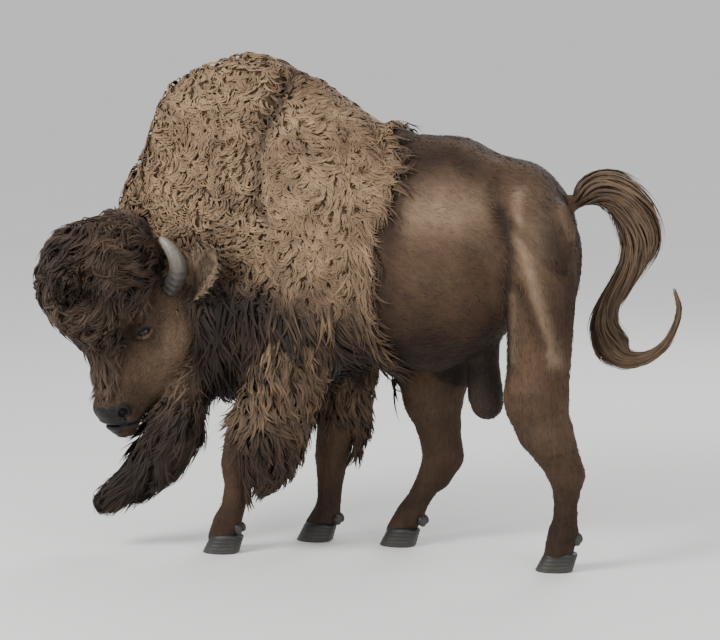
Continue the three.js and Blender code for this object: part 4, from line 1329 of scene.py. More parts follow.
def marks_and_shading_at(p: Array, zones: Array) -> Array:
    """How woolly, dark and pale the coat is; in places the dark share is painted shade and the pale share painted
    highlight.

    Args:
        p: Points in the drawing axes.
        zones: The zone of each.

    Returns:
        Three shares from 0 to 1 a point.
    """
    out = trunk_marks_and_shading(p)
    none, z = 0 * p[:, 0], p[:, 2]
    q, m = to_head(p), near_head(p)
    cheek = bump(q[:, 0], 0.33, 0.15) * bump(q[:, 2], -0.19, 0.10)
    # Painted shade in the socket round each eye, and a painted highlight on the pouch under it.
    socket = bell(lengths(m - EYE_AT) / 0.034)
    chin = ramp(z, 0.50, 0.12)
    rim = ramp(ear_rim(m), 0.3, 0.4)
    along, up, _ = eye_local(m)
    pouch_highlight = bell((up + 0.019 - along * along * 9) / 0.006) * bell(along / 0.026) * socket
    # Painted highlights on the bonnet's curls.
    curl_highlights = 0.14 * np.maximum(ripple(p, 0.05, 24), 0)
    fixed = {
        Zone.HEAD: (0.25 * cheek, 0.45 - 0.40 * cheek + 0.5 * socket - 0.7 * pouch_highlight, 0.42 * cheek + 0.9 * pouch_highlight),
        Zone.BONNET: (0.18 + none, 0.74 + 0.1 * ripple(p, 0.06, 22), curl_highlights),
        Zone.SLEEVE: (0.62 * ramp(z, 0.38, 0.2), 0.7 - 0.36 * ramp(z, 0.45, 0.18), none),
        Zone.LEG: (none, 0.42 + 0.35 * fall(z, 0.3, 0.16), 0.1 * bump(z, 0.52, 0.08)),
        Zone.TAIL: (0.5 + none, 0.32 + 0.14 * ripple(p, 0.1, 9), 0.1 * bump(z, 1.3, 0.08)),
        Zone.BEARD: (0.06 + none, 0.9 - 0.62 * chin + 0.08 * ripple(p, 0.05, 23), 0.16 * chin),
        # Dark along the ear's middle, darker hair with painted shade in its cup, and pale at the rim's fringe.
        Zone.EAR: (0.3 + none, 0.8 - 0.8 * rim, 0.3 + 0.7 * rim),
        Zone.SCROTUM: (none, 0.62 + none, none),
    }
    for zone, columns in fixed.items():
        here = zones == zone
        out[here] = np.stack(columns, 1)[here]
    return np.clip(out, 0, 1)


def bare_at(p: Array, zones: Array) -> Array:
    """How bare the skin is: 1 on nose and lids, less on the scrotum and inside the ears."""
    q = near_head(p)
    edge = 0.528 + 0.55 * np.maximum(q[:, 2] + 0.035, 0) + 0.004 * ripple(p, 0.02, 3)
    pad = smooth_step((q[:, 0] - edge) / 0.012) * ramp(q[:, 2], -0.104, 0.012)
    nostril = bell(np.maximum(lengths(q - NOSTRIL_AT) - 0.024, 0) / 0.008)
    lips = bell(below_mouth(q) / 0.013) * ramp(q[:, 0], 0.53, 0.02) * ramp(q[:, 2], -0.175, 0.01)
    along, up, out = eye_local(q)
    lids = bell(np.maximum(np.hypot(along / 1.3, up) - 0.014, 0) / 0.005) * smooth_step(out / 0.01)
    head = np.maximum.reduce([pad, nostril, lips, lids]) * (zones == Zone.HEAD)
    return np.maximum.reduce([head, 0.35 * (zones == Zone.EAR), 0.55 * (zones == Zone.SCROTUM)])


# ---- lie of the hair

# The lie of the trunk's hair: places as x, |y| and z in millimetres, and the direction at each.
TRUNK_LIE = (
    ((-700, 120, 1400), (0.2, 0.1, -1)), ((-600, 100, 1700), (0.6, 0.3, -0.7)),
    ((-300, 60, 1830), (0.9, 0.5, -0.2)), ((0, 60, 1710), (1, 0.4, -0.45)), ((250, 60, 1550), (1, 0.3, -0.3)),
    ((-400, 250, 1300), (0.3, 0, -1)), ((-100, 330, 1300), (0.35, 0, -1)), ((180, 340, 1300), (0.55, 0, -0.9)),
    ((-450, 200, 900), (0.05, 0, -1)), ((-100, 300, 800), (0.1, 0, -1)), ((180, 330, 850), (0.5, 0, -0.8)),
    ((450, 320, 1250), (1, 0, -0.3)), ((450, 250, 750), (1, 0, 0)), ((400, 0, 670), (1, 0, 0.1)),
    ((600, 60, 1470), (1, 0.2, -0.1)), ((700, 260, 1200), (0.8, 0, -0.7)), ((850, 160, 1300), (0.4, 0.1, -1)),
    ((880, 100, 1000), (0.1, 0, -1)), ((800, 250, 800), (0.15, 0, -1)),
)
TAIL_ROUTE, BEARD_ROUTE = (Route(np.array(rows) * MM) for rows in (TAIL_MM, BEARD_MM))
TAIL_FLOW = Route(np.array((*TAIL_MM[:-1], TAIL_TURN_MM, *WISP_MM)) * MM)


def along_route(route: Route, p: Array) -> Array:
    """The heading of the nearest stretch of a route to each point."""
    shares = np.linspace(0, 1, 40)
    places = route.at(shares)[:, :3]
    nearest = lengths(p[:, None] - places[None]).argmin(1)
    return route.heading(shares[nearest])


def bonnet_lie(q: Array) -> Array:
    """The way of the curls: forward over the crown, down the brow, and sweeping forward over the temples."""
    rise, out = q[:, 0] - 0.10, q[:, 2] - 0.06
    size = np.hypot(rise, out) + 0.02
    down, ahead = out / size + 0.25, np.maximum(-rise / size, -0.1)
    temple = np.maximum(ramp(np.abs(q[:, 1]), 0.05, 0.05), fall(size, 0.16, 0.06))
    low = ramp(q[:, 0], -0.06, 0.30)
    part = 0.35 * np.sign(q[:, 1]) * (1 - temple) * smooth_step(out / 0.1)
    front = ramp(q[:, 2], 0.05, 0.13)
    sweep_down, sweep_ahead = 0.15 + 0.75 * low + 0.9 * front, (1.0 - 0.55 * low) * (1 - 0.9 * front)
    return np.stack([down + (sweep_down - down) * temple, part, ahead + (sweep_ahead - ahead) * temple], 1)


def ear_lie(q: Array) -> Array:
    """The way of the ear's hair: along it, and out past its rims."""
    side = np.where(np.arange(3) == 1, np.sign(q[:, 1:2] + 1e-9), 1)
    near = q * side - EAR.base
    share = np.clip(near @ EAR.along / EAR.length, 0, 1)
    over = np.clip(near @ EAR.across / EAR.half_width(share), -1, 1)
    way = EAR.along + 1.1 * over[:, None] * EAR.across
    return way * side


def lie_at(p: Array, zones: Array) -> Array:
    """Which way the hair lies at each point, before it is laid along the skin."""
    q = to_head(p)
    mirrored = np.stack([p[:, 0], np.abs(p[:, 1]), p[:, 2]], 1)
    spots = np.array([spot for spot, _ in TRUNK_LIE]) * MM
    ways = unit(np.array([way for _, way in TRUNK_LIE], float))
    pull = np.exp(-np.square(mirrored[:, None] - spots[None]).sum(2) / 0.045) + 1e-9
    way = (pull[:, :, None] * ways[None]).sum(1) / pull.sum(1)[:, None]
    way[:, 1] *= np.sign(p[:, 1] + 1e-9)
    back = np.array([-0.85, 0.0, -0.25]) + np.array([0.0, 0.25, 0.0]) * np.sign(q[:, 1:2] + 1e-9)
    by_zone = {Zone.HEAD: back @ HEAD, Zone.BONNET: bonnet_lie(q) @ HEAD, Zone.EAR: ear_lie(q) @ HEAD}
    for zone in (Zone.SLEEVE, Zone.LEG, Zone.SCROTUM):
        by_zone[zone] = np.broadcast_to([0.12, 0.0, -1.0], p.shape)
    for zone, chosen in by_zone.items():
        here = zones == zone
        way[here] = chosen[here]
    for zone, route in ((Zone.TAIL, TAIL_ROUTE), (Zone.BEARD, BEARD_ROUTE)):
        here = zones == zone
        if here.any():
            way[here] = along_route(route, p[here])
    return unit(way)


def laid(way: Array, normal: Array) -> Array:
    """Directions laid flat on the skin."""
    return unit(way - normal * (way * normal).sum(1, keepdims=True))


# ---- skin


@dataclass
class Skin:
    """The one closed skin of trunk, head, legs, tail and ears."""

    maker: MeshMaker
    eye_reach: float = 0.06
    lid_reach: float = 0.04

    def build(self, grid: DistanceGrid) -> Piece:
        """Meshes the skin, divides it finely where it has small forms, and settles it on its field.

        Args:
            grid: The skin's field.

        Returns:
            The skin, with its markings and the comb of its fur noted on it.
        """
        corners, faces = surface_net(grid.axes, grid.values)
        corners = settled(corners, faces, 2, 0.008)
        corners, faces = self.divided(corners, faces, self.fine_places(corners))
        corners, faces = self.divided(corners, faces, self.eye_places(corners, self.lid_reach))
        triangles = np.concatenate([faces[:, :3], faces[:, [0, 2, 3]]])
        triangles = triangles[(triangles[:, 0] != triangles[:, 2]) & (triangles[:, 1] != triangles[:, 2])]
        corners = settled(corners, triangles, 2, 0.004)
        zones = zones_at(corners)
        _, normals = slope_of(skin_field, corners)
        self.corners, self.triangles, self.zones, self.normals = corners, triangles, zones, normals
        for _, sign in SIDES:
            for rings, zone in ((EAR.rings(), Zone.EAR), (lid_rings(), Zone.HEAD)):
                self.join(loft(from_near(rings, sign), closed=zone == Zone.HEAD), zone)
        self.normals = unit(self.normals)
        bare = np.stack([bare_at(self.corners, self.zones)] * 3, 1)
        combs = np.abs(laid(lie_at(self.corners, self.zones), self.normals) @ np.array(COMB_WAYS).T) ** 4
        combs = combs / np.maximum(combs.sum(1, keepdims=True), 1e-3)
        notes = {"marks_and_shading": marks_and_shading_at(self.corners, self.zones), "comb": combs, "bare": bare}
        return self.maker.build("skin", self.corners, [self.triangles], notes=notes)

    def join(self, shape: tuple[Array, Array, Array], zone: Zone) -> None:
        """Adds a closed shape whose root is buried in the skin.

        Args:
            shape: Its corners, faces of four and faces of three.
            zone: What it belongs to.
        """
        points, quads, fans = shape
        faces = np.concatenate([quads[:, :3], quads[:, [0, 2, 3]], fans])
        flat = np.cross(points[faces[:, 1]] - points[faces[:, 0]], points[faces[:, 2]] - points[faces[:, 0]])
        out = np.stack([np.bincount(faces.ravel(), np.repeat(flat[:, k], 3), len(points)) for k in range(3)], 1)
        self.triangles = np.vstack([self.triangles, faces + len(self.corners)])
        self.corners, self.normals = np.vstack([self.corners, points]), np.vstack([self.normals, out])
        self.zones = np.r_[self.zones, np.full(len(points), zone)]

    def fine_places(self, corners: Array) -> Array:
        """Where the skin needs smaller faces: muzzle, round the eyes, lower legs and near haunch."""
        boxed = in_box(corners, LEG_BOX) | in_box(corners, HAUNCH_BOX) | in_box(near_head(corners), MUZZLE_BOX)
        return boxed | self.eye_places(corners, self.eye_reach)

    @staticmethod
    def eye_places(corners: Array, reach: float) -> Array:
        """The skin within reach of an eye."""
        return lengths(near_head(corners) - EYE_AT) < reach

    @staticmethod
    def divided(corners: Array, faces: Array, chosen: Array) -> tuple[Array, Array]:
        """Cuts chosen faces in four, and the ones beside them to match.

        Args:
            corners: The points.
            faces: Faces of four corners; a triangle repeats its last.
            chosen: True for each point in the area to divide.

        Returns:
            The new points and faces, still closed.
        """
        pick = chosen[faces].all(1)
        plain, split = faces[~pick], faces[pick]
        ends = np.sort(np.stack([split, np.roll(split, -1, 1)], -1), -1).reshape(-1, 2)
        edges, where = np.unique(ends, axis=0, return_inverse=True)
        where = where.reshape(-1, 4) + len(corners)
        middles = corners[edges].mean(1)
        centre = np.arange(len(split)) + len(corners) + len(edges)
        centres = corners[split].mean(1)
        fours = [np.stack([split[:, k], where[:, k], centre, where[:, k - 1]], -1) for k in range(4)]
        table = {tuple(edge): k + len(corners) for k, edge in enumerate(edges.tolist())}
        kept, fans = [], []
        touched = np.isin(plain, split.ravel()).sum(1) >= 2
        for face in plain[touched].tolist():
            ring: list[int] = []
            for k in range(4):
                a, b = face[k], face[(k + 1) % 4]
                if a == b:
                    continue
                ring.append(a)
                middle = table.get((min(a, b), max(a, b)))
                if middle is not None:
                    ring.append(middle)
            if len(ring) <= 4:
                kept.append(face)
                continue
            start = next(k for k, corner in enumerate(ring) if corner >= len(corners))
            ring = ring[start:] + ring[:start]
            fans += [(ring[0], ring[k], ring[k + 1], ring[k + 1]) for k in range(1, len(ring) - 1)]
        rest = [np.array(part, int).reshape(-1, 4) for part in (kept, fans)]
        return np.vstack([corners, middles, centres]), np.concatenate([plain[~touched], *rest, *fours])


# ---- coat


@dataclass(frozen=True)
class Hair:
    """How one part of the coat grows: sizes in metres, turns in radians, and shares from 0 to 1."""

    name: str
    area: Area
    locks: int
    spacing: float
    length: float
    width: float
    rings: int
    height: float
    curl: float = 0.0
    wave: float = 0.0
    scatter: float = 0.3
    clump: float = 0.5
    free: float = 0.0
    drop: float = 0.0
    flare: float = 0.0
    thick: float = 0.3
    soft: float = 0.55
    stretch: Callable[[Array], Array] | None = None


@dataclass
class Coat:
    """Solid locks over the skin, in groups that each follow one combed guide."""

    maker: MeshMaker
    skin: Skin
    grid: DistanceGrid
    room: tuple[Array, Array]
    patch: float = 0.003
    most_guides: int = 16000
    strand_groups: int = 36

    def __post_init__(self) -> None:
        """Unwraps a plain copy of the skin, whose map places each lock's patch of colour."""
        axes = [np.union1d(axis[::2], axis[-1:]) for axis in self.grid.axes]
        index = [np.searchsorted(full, axis) for full, axis in zip(self.grid.axes, axes)]
        corners, faces = surface_net(axes, self.grid.values[np.ix_(*index)])
        sheet = MeshMaker(np.zeros(3)).build("unwrap", corners, [faces])
        bpy.context.view_layer.objects.active = sheet
        bpy.ops.object.select_all(action="DESELECT")
        sheet.select_set(True)
        bpy.ops.object.mode_set(mode="EDIT")
        bpy.ops.mesh.select_all(action="SELECT")
        bpy.ops.uv.smart_project(angle_limit=math.radians(66), island_margin=0.002)
        bpy.ops.object.mode_set(mode="OBJECT")
        mesh = sheet.data
        uv = np.zeros(len(mesh.loops) * 2, np.float32)
        mesh.uv_layers.active.uv.foreach_get("vector", uv)
        order = np.zeros(len(mesh.loops), np.int32)
        mesh.loops.foreach_get("vertex_index", order)
        self.face_uv, self.face_corners = uv.reshape(-1, 4, 2), order.reshape(-1, 4)
        self.sheet_corners = corners
        self.tree = BVHTree.FromPolygons([Vector(c) for c in corners], self.face_corners.tolist())
        bpy.data.objects.remove(sheet)
        bpy.data.meshes.remove(mesh)
        points = self.skin.corners[self.skin.triangles]
        edges = points[:, 1:] - points[:, :1]
        self.areas = lengths(np.cross(edges[:, 0], edges[:, 1])) / 2
        self.middles = points.mean(1)
        self.face_zones = self.skin.zones[self.skin.triangles[:, 0]]
        self.face_normals = unit(self.skin.normals[self.skin.triangles].mean(1))

    def place_on_map(self, p: Array) -> Array:
        """Where each point lies on the skin's unwrap, weighing the corners of its nearest face."""
        out = np.zeros((len(p), 2))
        for k, point in enumerate(p):
            face = self.tree.find_nearest(Vector(point))[2]
            weight = 1 / (lengths(self.sheet_corners[self.face_corners[face]] - point) + 1e-4) ** 2
            out[k] = (self.face_uv[face] * weight[:, None]).sum(0) / weight.sum()
        return out

    def roots(self, hair: Hair, count: int, rng: np.random.Generator) -> tuple[Array, Array, Array]:
        """Random places on the hair's part of the skin.

        Args:
            hair: The hair to plant.
            count: How many.
            rng: The source of chance.

        Returns:
            Points, the way out at each, and each one's zone.
        """
        weight = self.areas * np.clip(hair.area(self.middles, self.face_zones), 0, None)
        face = rng.choice(len(weight), count, p=weight / weight.sum())
        share = rng.random((count, 2))
        share = np.where(share.sum(1, keepdims=True) > 1, 1 - share, share)
        a, b, c = (self.skin.corners[self.skin.triangles[face, k]] for k in range(3))
        points = a + (b - a) * share[:, :1] + (c - a) * share[:, 1:]
        return points, self.face_normals[face], self.face_zones[face]

    def guides(self, hair: Hair, rng: np.random.Generator) -> tuple[Array, Array]:
        """Combs one guide for each patch of skin the spacing wide.

        Args:
            hair: The hair to comb.
            rng: The source of chance.

        Returns:
            The guides' points and the way out at each: guide by ring by axis.
        """
        points, normals, zones = self.roots(hair, min(hair.locks * 2, self.most_guides), rng)
        cell = np.floor(points / hair.spacing).astype(int)
        _, first = np.unique(cell, axis=0, return_index=True)
        points, normals, zones = points[first], normals[first], zones[first]
        size = hair.length / (hair.rings - 1) * rng.uniform(0.8, 1.2, len(points))
        if hair.stretch is not None:
            size = size * hair.stretch(points)
        swing = hair.wave * ripple(points, 0.16, 5) + rng.normal(0, hair.scatter, len(points))
        curl = hair.curl * rng.uniform(0.5, 1.2, len(points))
        curl = curl * np.sign(ripple(points, 0.09, 8) + rng.normal(0, 0.4, len(points)))
        path, out, at = [points], [normals], points
        standing = (zones == Zone.EAR)[:, None]
        for ring in range(1, hair.rings):
            share = ring / (hair.rings - 1)
            normal = np.where(standing, normals, self.grid.normal(at))
            way = laid(lie_at(at, zones), normal) + normals * standing * 0.3
            turn = (swing + curl * (share - 0.4))[:, None]
            way = np.cos(turn) * way + np.sin(turn) * np.cross(normal, way)
            way[:, 2] -= hair.drop * share
            way = way + normal * (hair.flare * share * fall(points[:, 2], 0.68, 0.22))[:, None]
            at = at + unit(way) * size[:, None]
            rise = hair.height * math.sin(math.pi * min(0.18 + 0.62 * share, 1))
            hold = 1 - hair.free * share
            at = at + self.grid.normal(at) * ((rise - self.grid.value(at)) * hold)[:, None] * ~standing
            path.append(at)
            out.append(normal)
        return np.stack(path, 1), np.stack(out, 1)

    def grow(self, hair: Hair, seed: int) -> Piece:
        """Makes the locks of one part of the coat.

        Args:
            hair: The hair to grow.
            seed: Fixes every random choice.

        Returns:
            The piece.
        """
        rng = np.random.default_rng(seed)
        paths, outs = self.guides(hair, rng)
        tree = KDTree(len(paths))
        for k, place in enumerate(paths[:, 0]):
            tree.insert(place, k)
        tree.balance()
        points, normals, zones = self.roots(hair, hair.locks, rng)
        guide = np.array([tree.find(point)[1] for point in points])
        share = np.linspace(0, 1, hair.rings)[None, :, None]
        offset = (points - paths[guide, 0])[:, None]
        scale = rng.uniform(0.72, 1.1, (len(points), 1, 1))
        spread = rng.normal(0, 0.09 * hair.length, (len(points), 1, 3))
        grown = (paths[guide] - paths[guide, :1]) * scale
        path = points[:, None] + grown - offset * hair.clump * share + spread * share**1.5
        path[:, 0] -= normals * 0.004
        if hair.height > 0:
            path[:, 1:] = self.held(path[:, 1:], 1.15 * hair.height + 0.25 * hair.free * hair.length)
        low, high = self.room
        path = path + 0.8 * (np.maximum(low - path, 0) - np.maximum(path - high, 0))
        return self.mesh(hair, path, outs[guide], marks_and_shading_at(points, zones), points, rng)

    def held(self, path: Array, reach: float) -> Array:
        """Points that stand further out of the skin than a reach, drawn most of the way back to it."""
        places = path.reshape(-1, 3).copy()
        over = self.grid.value(places) - reach
        out = over > 0
        places[out] -= self.grid.normal(places[out]) * over[out, None] * 0.85
        return places.reshape(path.shape)

    def flowing(
        self, hair: Hair, route: Route, reach: tuple[float, float], span: float, seed: int,
    ) -> Piece:
        """Long strands that follow a route, spreading and drawing together with its radius.

        Args:
            hair: The strands' sizes; its length isn't read.
            route: The middle of the hair.
            reach: The shares of the route between which strands begin.
            span: How much of the route each strand follows.
            seed: Fixes every random choice.

        Returns:
            The piece.
        """
        rng = np.random.default_rng(seed)
        count = hair.locks
        start = rng.uniform(*reach, (count, 1))
        share = start + span * rng.uniform(0.7, 1.2, (count, 1)) * np.linspace(0, 1, hair.rings)
        share = np.minimum(share, rng.uniform(0.9, 1, (count, 1)) - 0.004 * np.arange(hair.rings)[::-1])
        rows, heading = route.at(share), route.heading(share)
        side = unit(np.cross(heading, (0, 1, 0)))
        group = rng.integers(0, self.strand_groups, (count, 1))
        turn = circle(self.strand_groups)[group] + rng.normal(0, 0.07, (count, 1)) + hair.curl * share
        turn = turn + hair.wave * np.sin(share * 19 + group * 1.7)
        out = np.cos(turn)[..., None] * side + np.sin(turn)[..., None] * np.cross(side, heading)
        grown = np.linspace(0, 1, hair.rings)[None, :, None]
        loose = hair.free * rng.uniform(0, 1, self.strand_groups)[group][..., None]
        depth = rng.uniform(0.6, 1, (count, 1, 1)) * (0.6 + 0.4 * smooth_step(grown * 4))
        depth = depth * (1 + loose * grown**2)
        path = rows[..., :3] + out * rows[..., 3:] * depth
        root_marks_and_shading = marks_and_shading_at(path[:, 0], np.full(count, Zone.TAIL))
        return self.mesh(hair, path, out, root_marks_and_shading, path[:, 0], rng)

    def mesh(
        self, hair: Hair, path: Array, out: Array, root_marks_and_shading: Array, points: Array, rng: np.random.Generator,
    ) -> Piece:
        """Skins each path with a lock: three-sided, full near its root, drawn out to a point.

        Args:
            hair: The hair's sizes.
            path: Lock by ring by axis.
            out: The way out of the skin, at each ring.
            root_marks_and_shading: The coat's colours, painted shade and painted highlights at each root.
            points: The roots, for the map.
            rng: The source of chance.

        Returns:
            The piece.
        """
        count, rings = path.shape[:2]
        heading = unit(np.gradient(path, axis=1))
        side = unit(np.cross(heading, out))
        up = np.cross(side, heading)
        share = np.linspace(0, 1, rings)
        twist = rng.normal(0, 0.35, (count, 1, 1)) + rng.normal(0, 0.5, (count, 1, 1)) * share[None, :, None]
        side, up = side * np.cos(twist) + up * np.sin(twist), up * np.cos(twist) - side * np.sin(twist)
        full = (0.62 + 0.38 * np.sin(np.pi * np.clip(share * 1.25, 0, 1))) * np.clip(1.15 - share**2.2, 0.04, 1)
        half = (hair.width / 2 * full)[None, :, None] * rng.uniform(0.7, 1.25, (count, 1, 1))
        body = slice(0, rings - 1)
        edge, ridge = (side * half)[:, body], (up * half * 2 * hair.thick)[:, body]
        ring = np.stack([path[:, body] - edge, path[:, body] + edge, path[:, body] + ridge], 2)
        corners = np.concatenate([ring.reshape(count, -1, 3), path[:, -1:]], 1)
        each = corners.shape[1]
        quads, tips, quad_uv, tip_uv = self.lock_faces(rings - 1)
        start = np.arange(count)[:, None, None] * each
        faces = [(quads[None] + start).reshape(-1, 4), (tips[None] + start).reshape(-1, 3)]
        place = self.place_on_map(points)[:, None, None]
        uv = [(place + self.patch * (part[None] - 0.5)).reshape(-1, 2) for part in (quad_uv, tip_uv)]
        along = np.append(np.repeat(share[body], 3), 1.0)
        across = np.append(np.tile([0.0, 1.0, 0.5], rings - 1), 0.5)
        chance = rng.random(count)
        strand = np.stack(np.broadcast_arrays(along[None], chance[:, None], across[None]), -1).reshape(-1, 3)
        notes = {"strand": strand, "marks_and_shading": np.repeat(root_marks_and_shading, each, 0)}
        normals = self.shading(side, up, out, hair.soft)
        return self.maker.build(
            f"coat_{hair.name}", corners.reshape(-1, 3), faces, np.concatenate(uv), notes, normals
        )

    @staticmethod
    def shading(side: Array, up: Array, out: Array, soft: float) -> Array:
        """The normals of the locks' points, partly their own sides' and partly the skin's."""
        facing = np.stack([-side, side, up], 2)[:, :-1].reshape(len(side), -1, 3)
        facing = np.concatenate([facing, up[:, -1:]], 1)
        skinward = np.concatenate([np.repeat(out[:, :-1], 3, 1), out[:, -1:]], 1)
        return unit(skinward * soft + facing * (1 - soft)).reshape(-1, 3)

    @staticmethod
    def lock_faces(rings: int) -> tuple[Array, Array, Array, Array]:
        """The faces of one lock, and each face corner's place on its patch of the map.

        Args:
            rings: How many rings of three corners it has before its tip.

        Returns:
            Quads, triangles, and the places of both, corner by corner.
        """
        quads, quad_uv = [], []
        for ring in range(rings - 1):
            for k in range(3):
                steps = ((k, ring), (k, ring + 1), (k + 1, ring + 1), (k + 1, ring))
                quads.append([3 * along + side % 3 for side, along in steps])
                quad_uv.append([(side / 3, along / rings) for side, along in steps])
        last, top = 3 * (rings - 1), (rings - 1) / rings
        tips = [(last + k, 3 * rings, last + (k + 1) % 3) for k in range(3)]
        tip_uv = [((k / 3, top), ((k + 0.5) / 3, 1), ((k + 1) / 3, top)) for k in range(3)]
        tips.append((0, 1, 2))
        tip_uv.append(((0, 0), (0.05, 0), (0, 0.05)))
        return np.array(quads), np.array(tips), np.array(quad_uv, float), np.array(tip_uv, float)


def in_zone(*chosen: Zone) -> Area:
    """An area that is all of some zones."""
    return lambda p, zones: np.isin(zones, chosen).astype(float)


def woolly(sign: int, ahead: bool | None = None) -> Area:
    """The light wool of neck, hump and shoulder on one side.

    Args:
        sign: -1 for the left side.
        ahead: True for only what lies ahead of the shoulder fold, False for what lies behind it.

    Returns:
        The area.
    """

    def area(p: Array, zones: Array) -> Array:
        """The weight at each point."""
        side = (p[:, 1] - TRUNK.centre(p[:, 0])) * sign > 0
        wool = side * TRUNK.cape(p) * ramp(p[:, 2], 0.8, 0.12)
        here = True if ahead is None else (p[:, 0] < TRUNK.fold(p[:, 2])) == ahead
        return (zones == Zone.TRUNK) * wool * (1 - 0.6 * TRUNK.fold_at(p)) * here

    return area


def throat_area(p: Array, zones: Array) -> Array:
    """The long dark hair under the neck, on the chest and behind the elbows."""
    low = fall(p[:, 2], 1.0, 0.14)
    front = fall(p[:, 0], -0.6, 0.1) * 0.6 * fall(p[:, 2], 1.12, 0.1)
    return (zones == Zone.TRUNK) * TRUNK.cape(p) * np.maximum(low, front)


def cape_edge_area(p: Array, zones: Array) -> Array:
    """The rear edge of the cape, where its locks hang over the sleek flank."""
    edge = bell((p[:, 0] - TRUNK.cape_edge(p[:, 2]) + 0.035) / 0.04)
    return (zones == Zone.TRUNK) * edge * ramp(p[:, 2], 0.66, 0.1)


def sleek_area(p: Array, zones: Array) -> Array:
    """The short-haired rear of the body."""
    line = 1 + 1.5 * bell(p[:, 1] / 0.05) * (p[:, 2] > 1.2) + TRUNK.crease_at(p)
    return (zones == Zone.TRUNK) * (1 - TRUNK.cape(p)) * line


def clear_of_eye(p: Array, low: float, high: float) -> Array:
    """0 nearer to an eye than low, 1 further than high."""
    reach = lengths((near_head(p) - EYE_AT) * (1, 1, 0.8))
    return smooth_step((reach - low) / (high - low))


def bonnet_area(p: Array, zones: Array) -> Array:
    """The curls on the crown and brow."""
    return (zones == Zone.BONNET) * fall(to_head(p)[:, 0], 0.34, 0.08) * clear_of_eye(p, 0.07, 0.10)


def bonnet_stretch(p: Array) -> Array:
    """Shorter curls round the eyes and at the temples' lower edge."""
    q = to_head(p)
    low = ramp(q[:, 0], 0.12, 0.12) * ramp(np.abs(q[:, 1]), 0.07, 0.05)
    return (0.45 + 0.55 * clear_of_eye(p, 0.08, 0.17)) * (1 - 0.4 * low)


def fringe_area(p: Array, zones: Array) -> Array:
    """The long fringe that falls from the brow over the bridge of the nose."""
    q = to_head(p)
    return (zones == Zone.BONNET) * ramp(q[:, 0], 0.2, 0.1) * clear_of_eye(p, 0.07, 0.10)


def fringe_stretch(p: Array) -> Array:
    """Shorter at the sides and towards the nose."""
    q = to_head(p)
    return 1.1 - 0.55 * ramp(np.abs(q[:, 1]), 0.03, 0.06) - 0.3 * ramp(q[:, 0], 0.36, 0.1)


def face_area(p: Array, zones: Array) -> Array:
    """Cheeks and muzzle, apart from what is bare, and the short hair over the top of the beard."""
    crown = ramp(to_head(p)[:, 0], 0.06, 0.05)
    cheek = (zones == Zone.BEARD) * ramp(p[:, 2], 0.50, 0.06)
    return (zones == Zone.HEAD) * crown * (1 - bare_at(p, zones)) ** 3 + cheek


def face_stretch(p: Array) -> Array:
    """Longer towards the jaw's lower edge."""
    return 1 + 1.1 * smooth_step((-0.17 - to_head(p)[:, 2]) / 0.1)


def jaw_area(p: Array, zones: Array) -> Array:
    """The underside of the jaw and the back of the cheek, where the hair grows long."""
    q = to_head(p)
    under = fall(q[:, 2], -0.225, 0.04) * fall(q[:, 0], 0.57, 0.04)
    return (zones == Zone.HEAD) * np.clip(under + fall(q[:, 0], 0.12, 0.06), 0, 1)


def ear_area(p: Array, zones: Array) -> Array:
    """Both faces of the ears, and most of all their rims."""
    q = near_head(p)
    share = (q - EAR.base) @ EAR.along / EAR.length
    rim = 0.6 + 2.6 * ramp(ear_rim(q), 0.6, 0.3)
    return (zones == Zone.EAR) * rim * ramp(share, 0.08, 0.08)


def beard_area(p: Array, zones: Array) -> Array:
    """The beard, from behind the chin down."""
    q = to_head(p)
    chin = np.maximum(fall(q[:, 2], -0.205, 0.03), ramp(q[:, 0], 0.66, 0.04))
    return (zones == Zone.BEARD) * chin * (0.06 + 0.94 * fall(p[:, 2], 0.57, 0.07))


def beard_stretch(p: Array) -> Array:
    """Shorter where the beard leaves the cheek, longest at its end."""
    return 0.35 + 0.65 * fall(p[:, 2], 0.56, 0.2)


def sleeve_stretch(p: Array) -> Array:
    """How much longer the foreleg's hair grows at its lower edge."""
    return 0.75 + 0.5 * fall(p[:, 2], 0.62, 0.25)


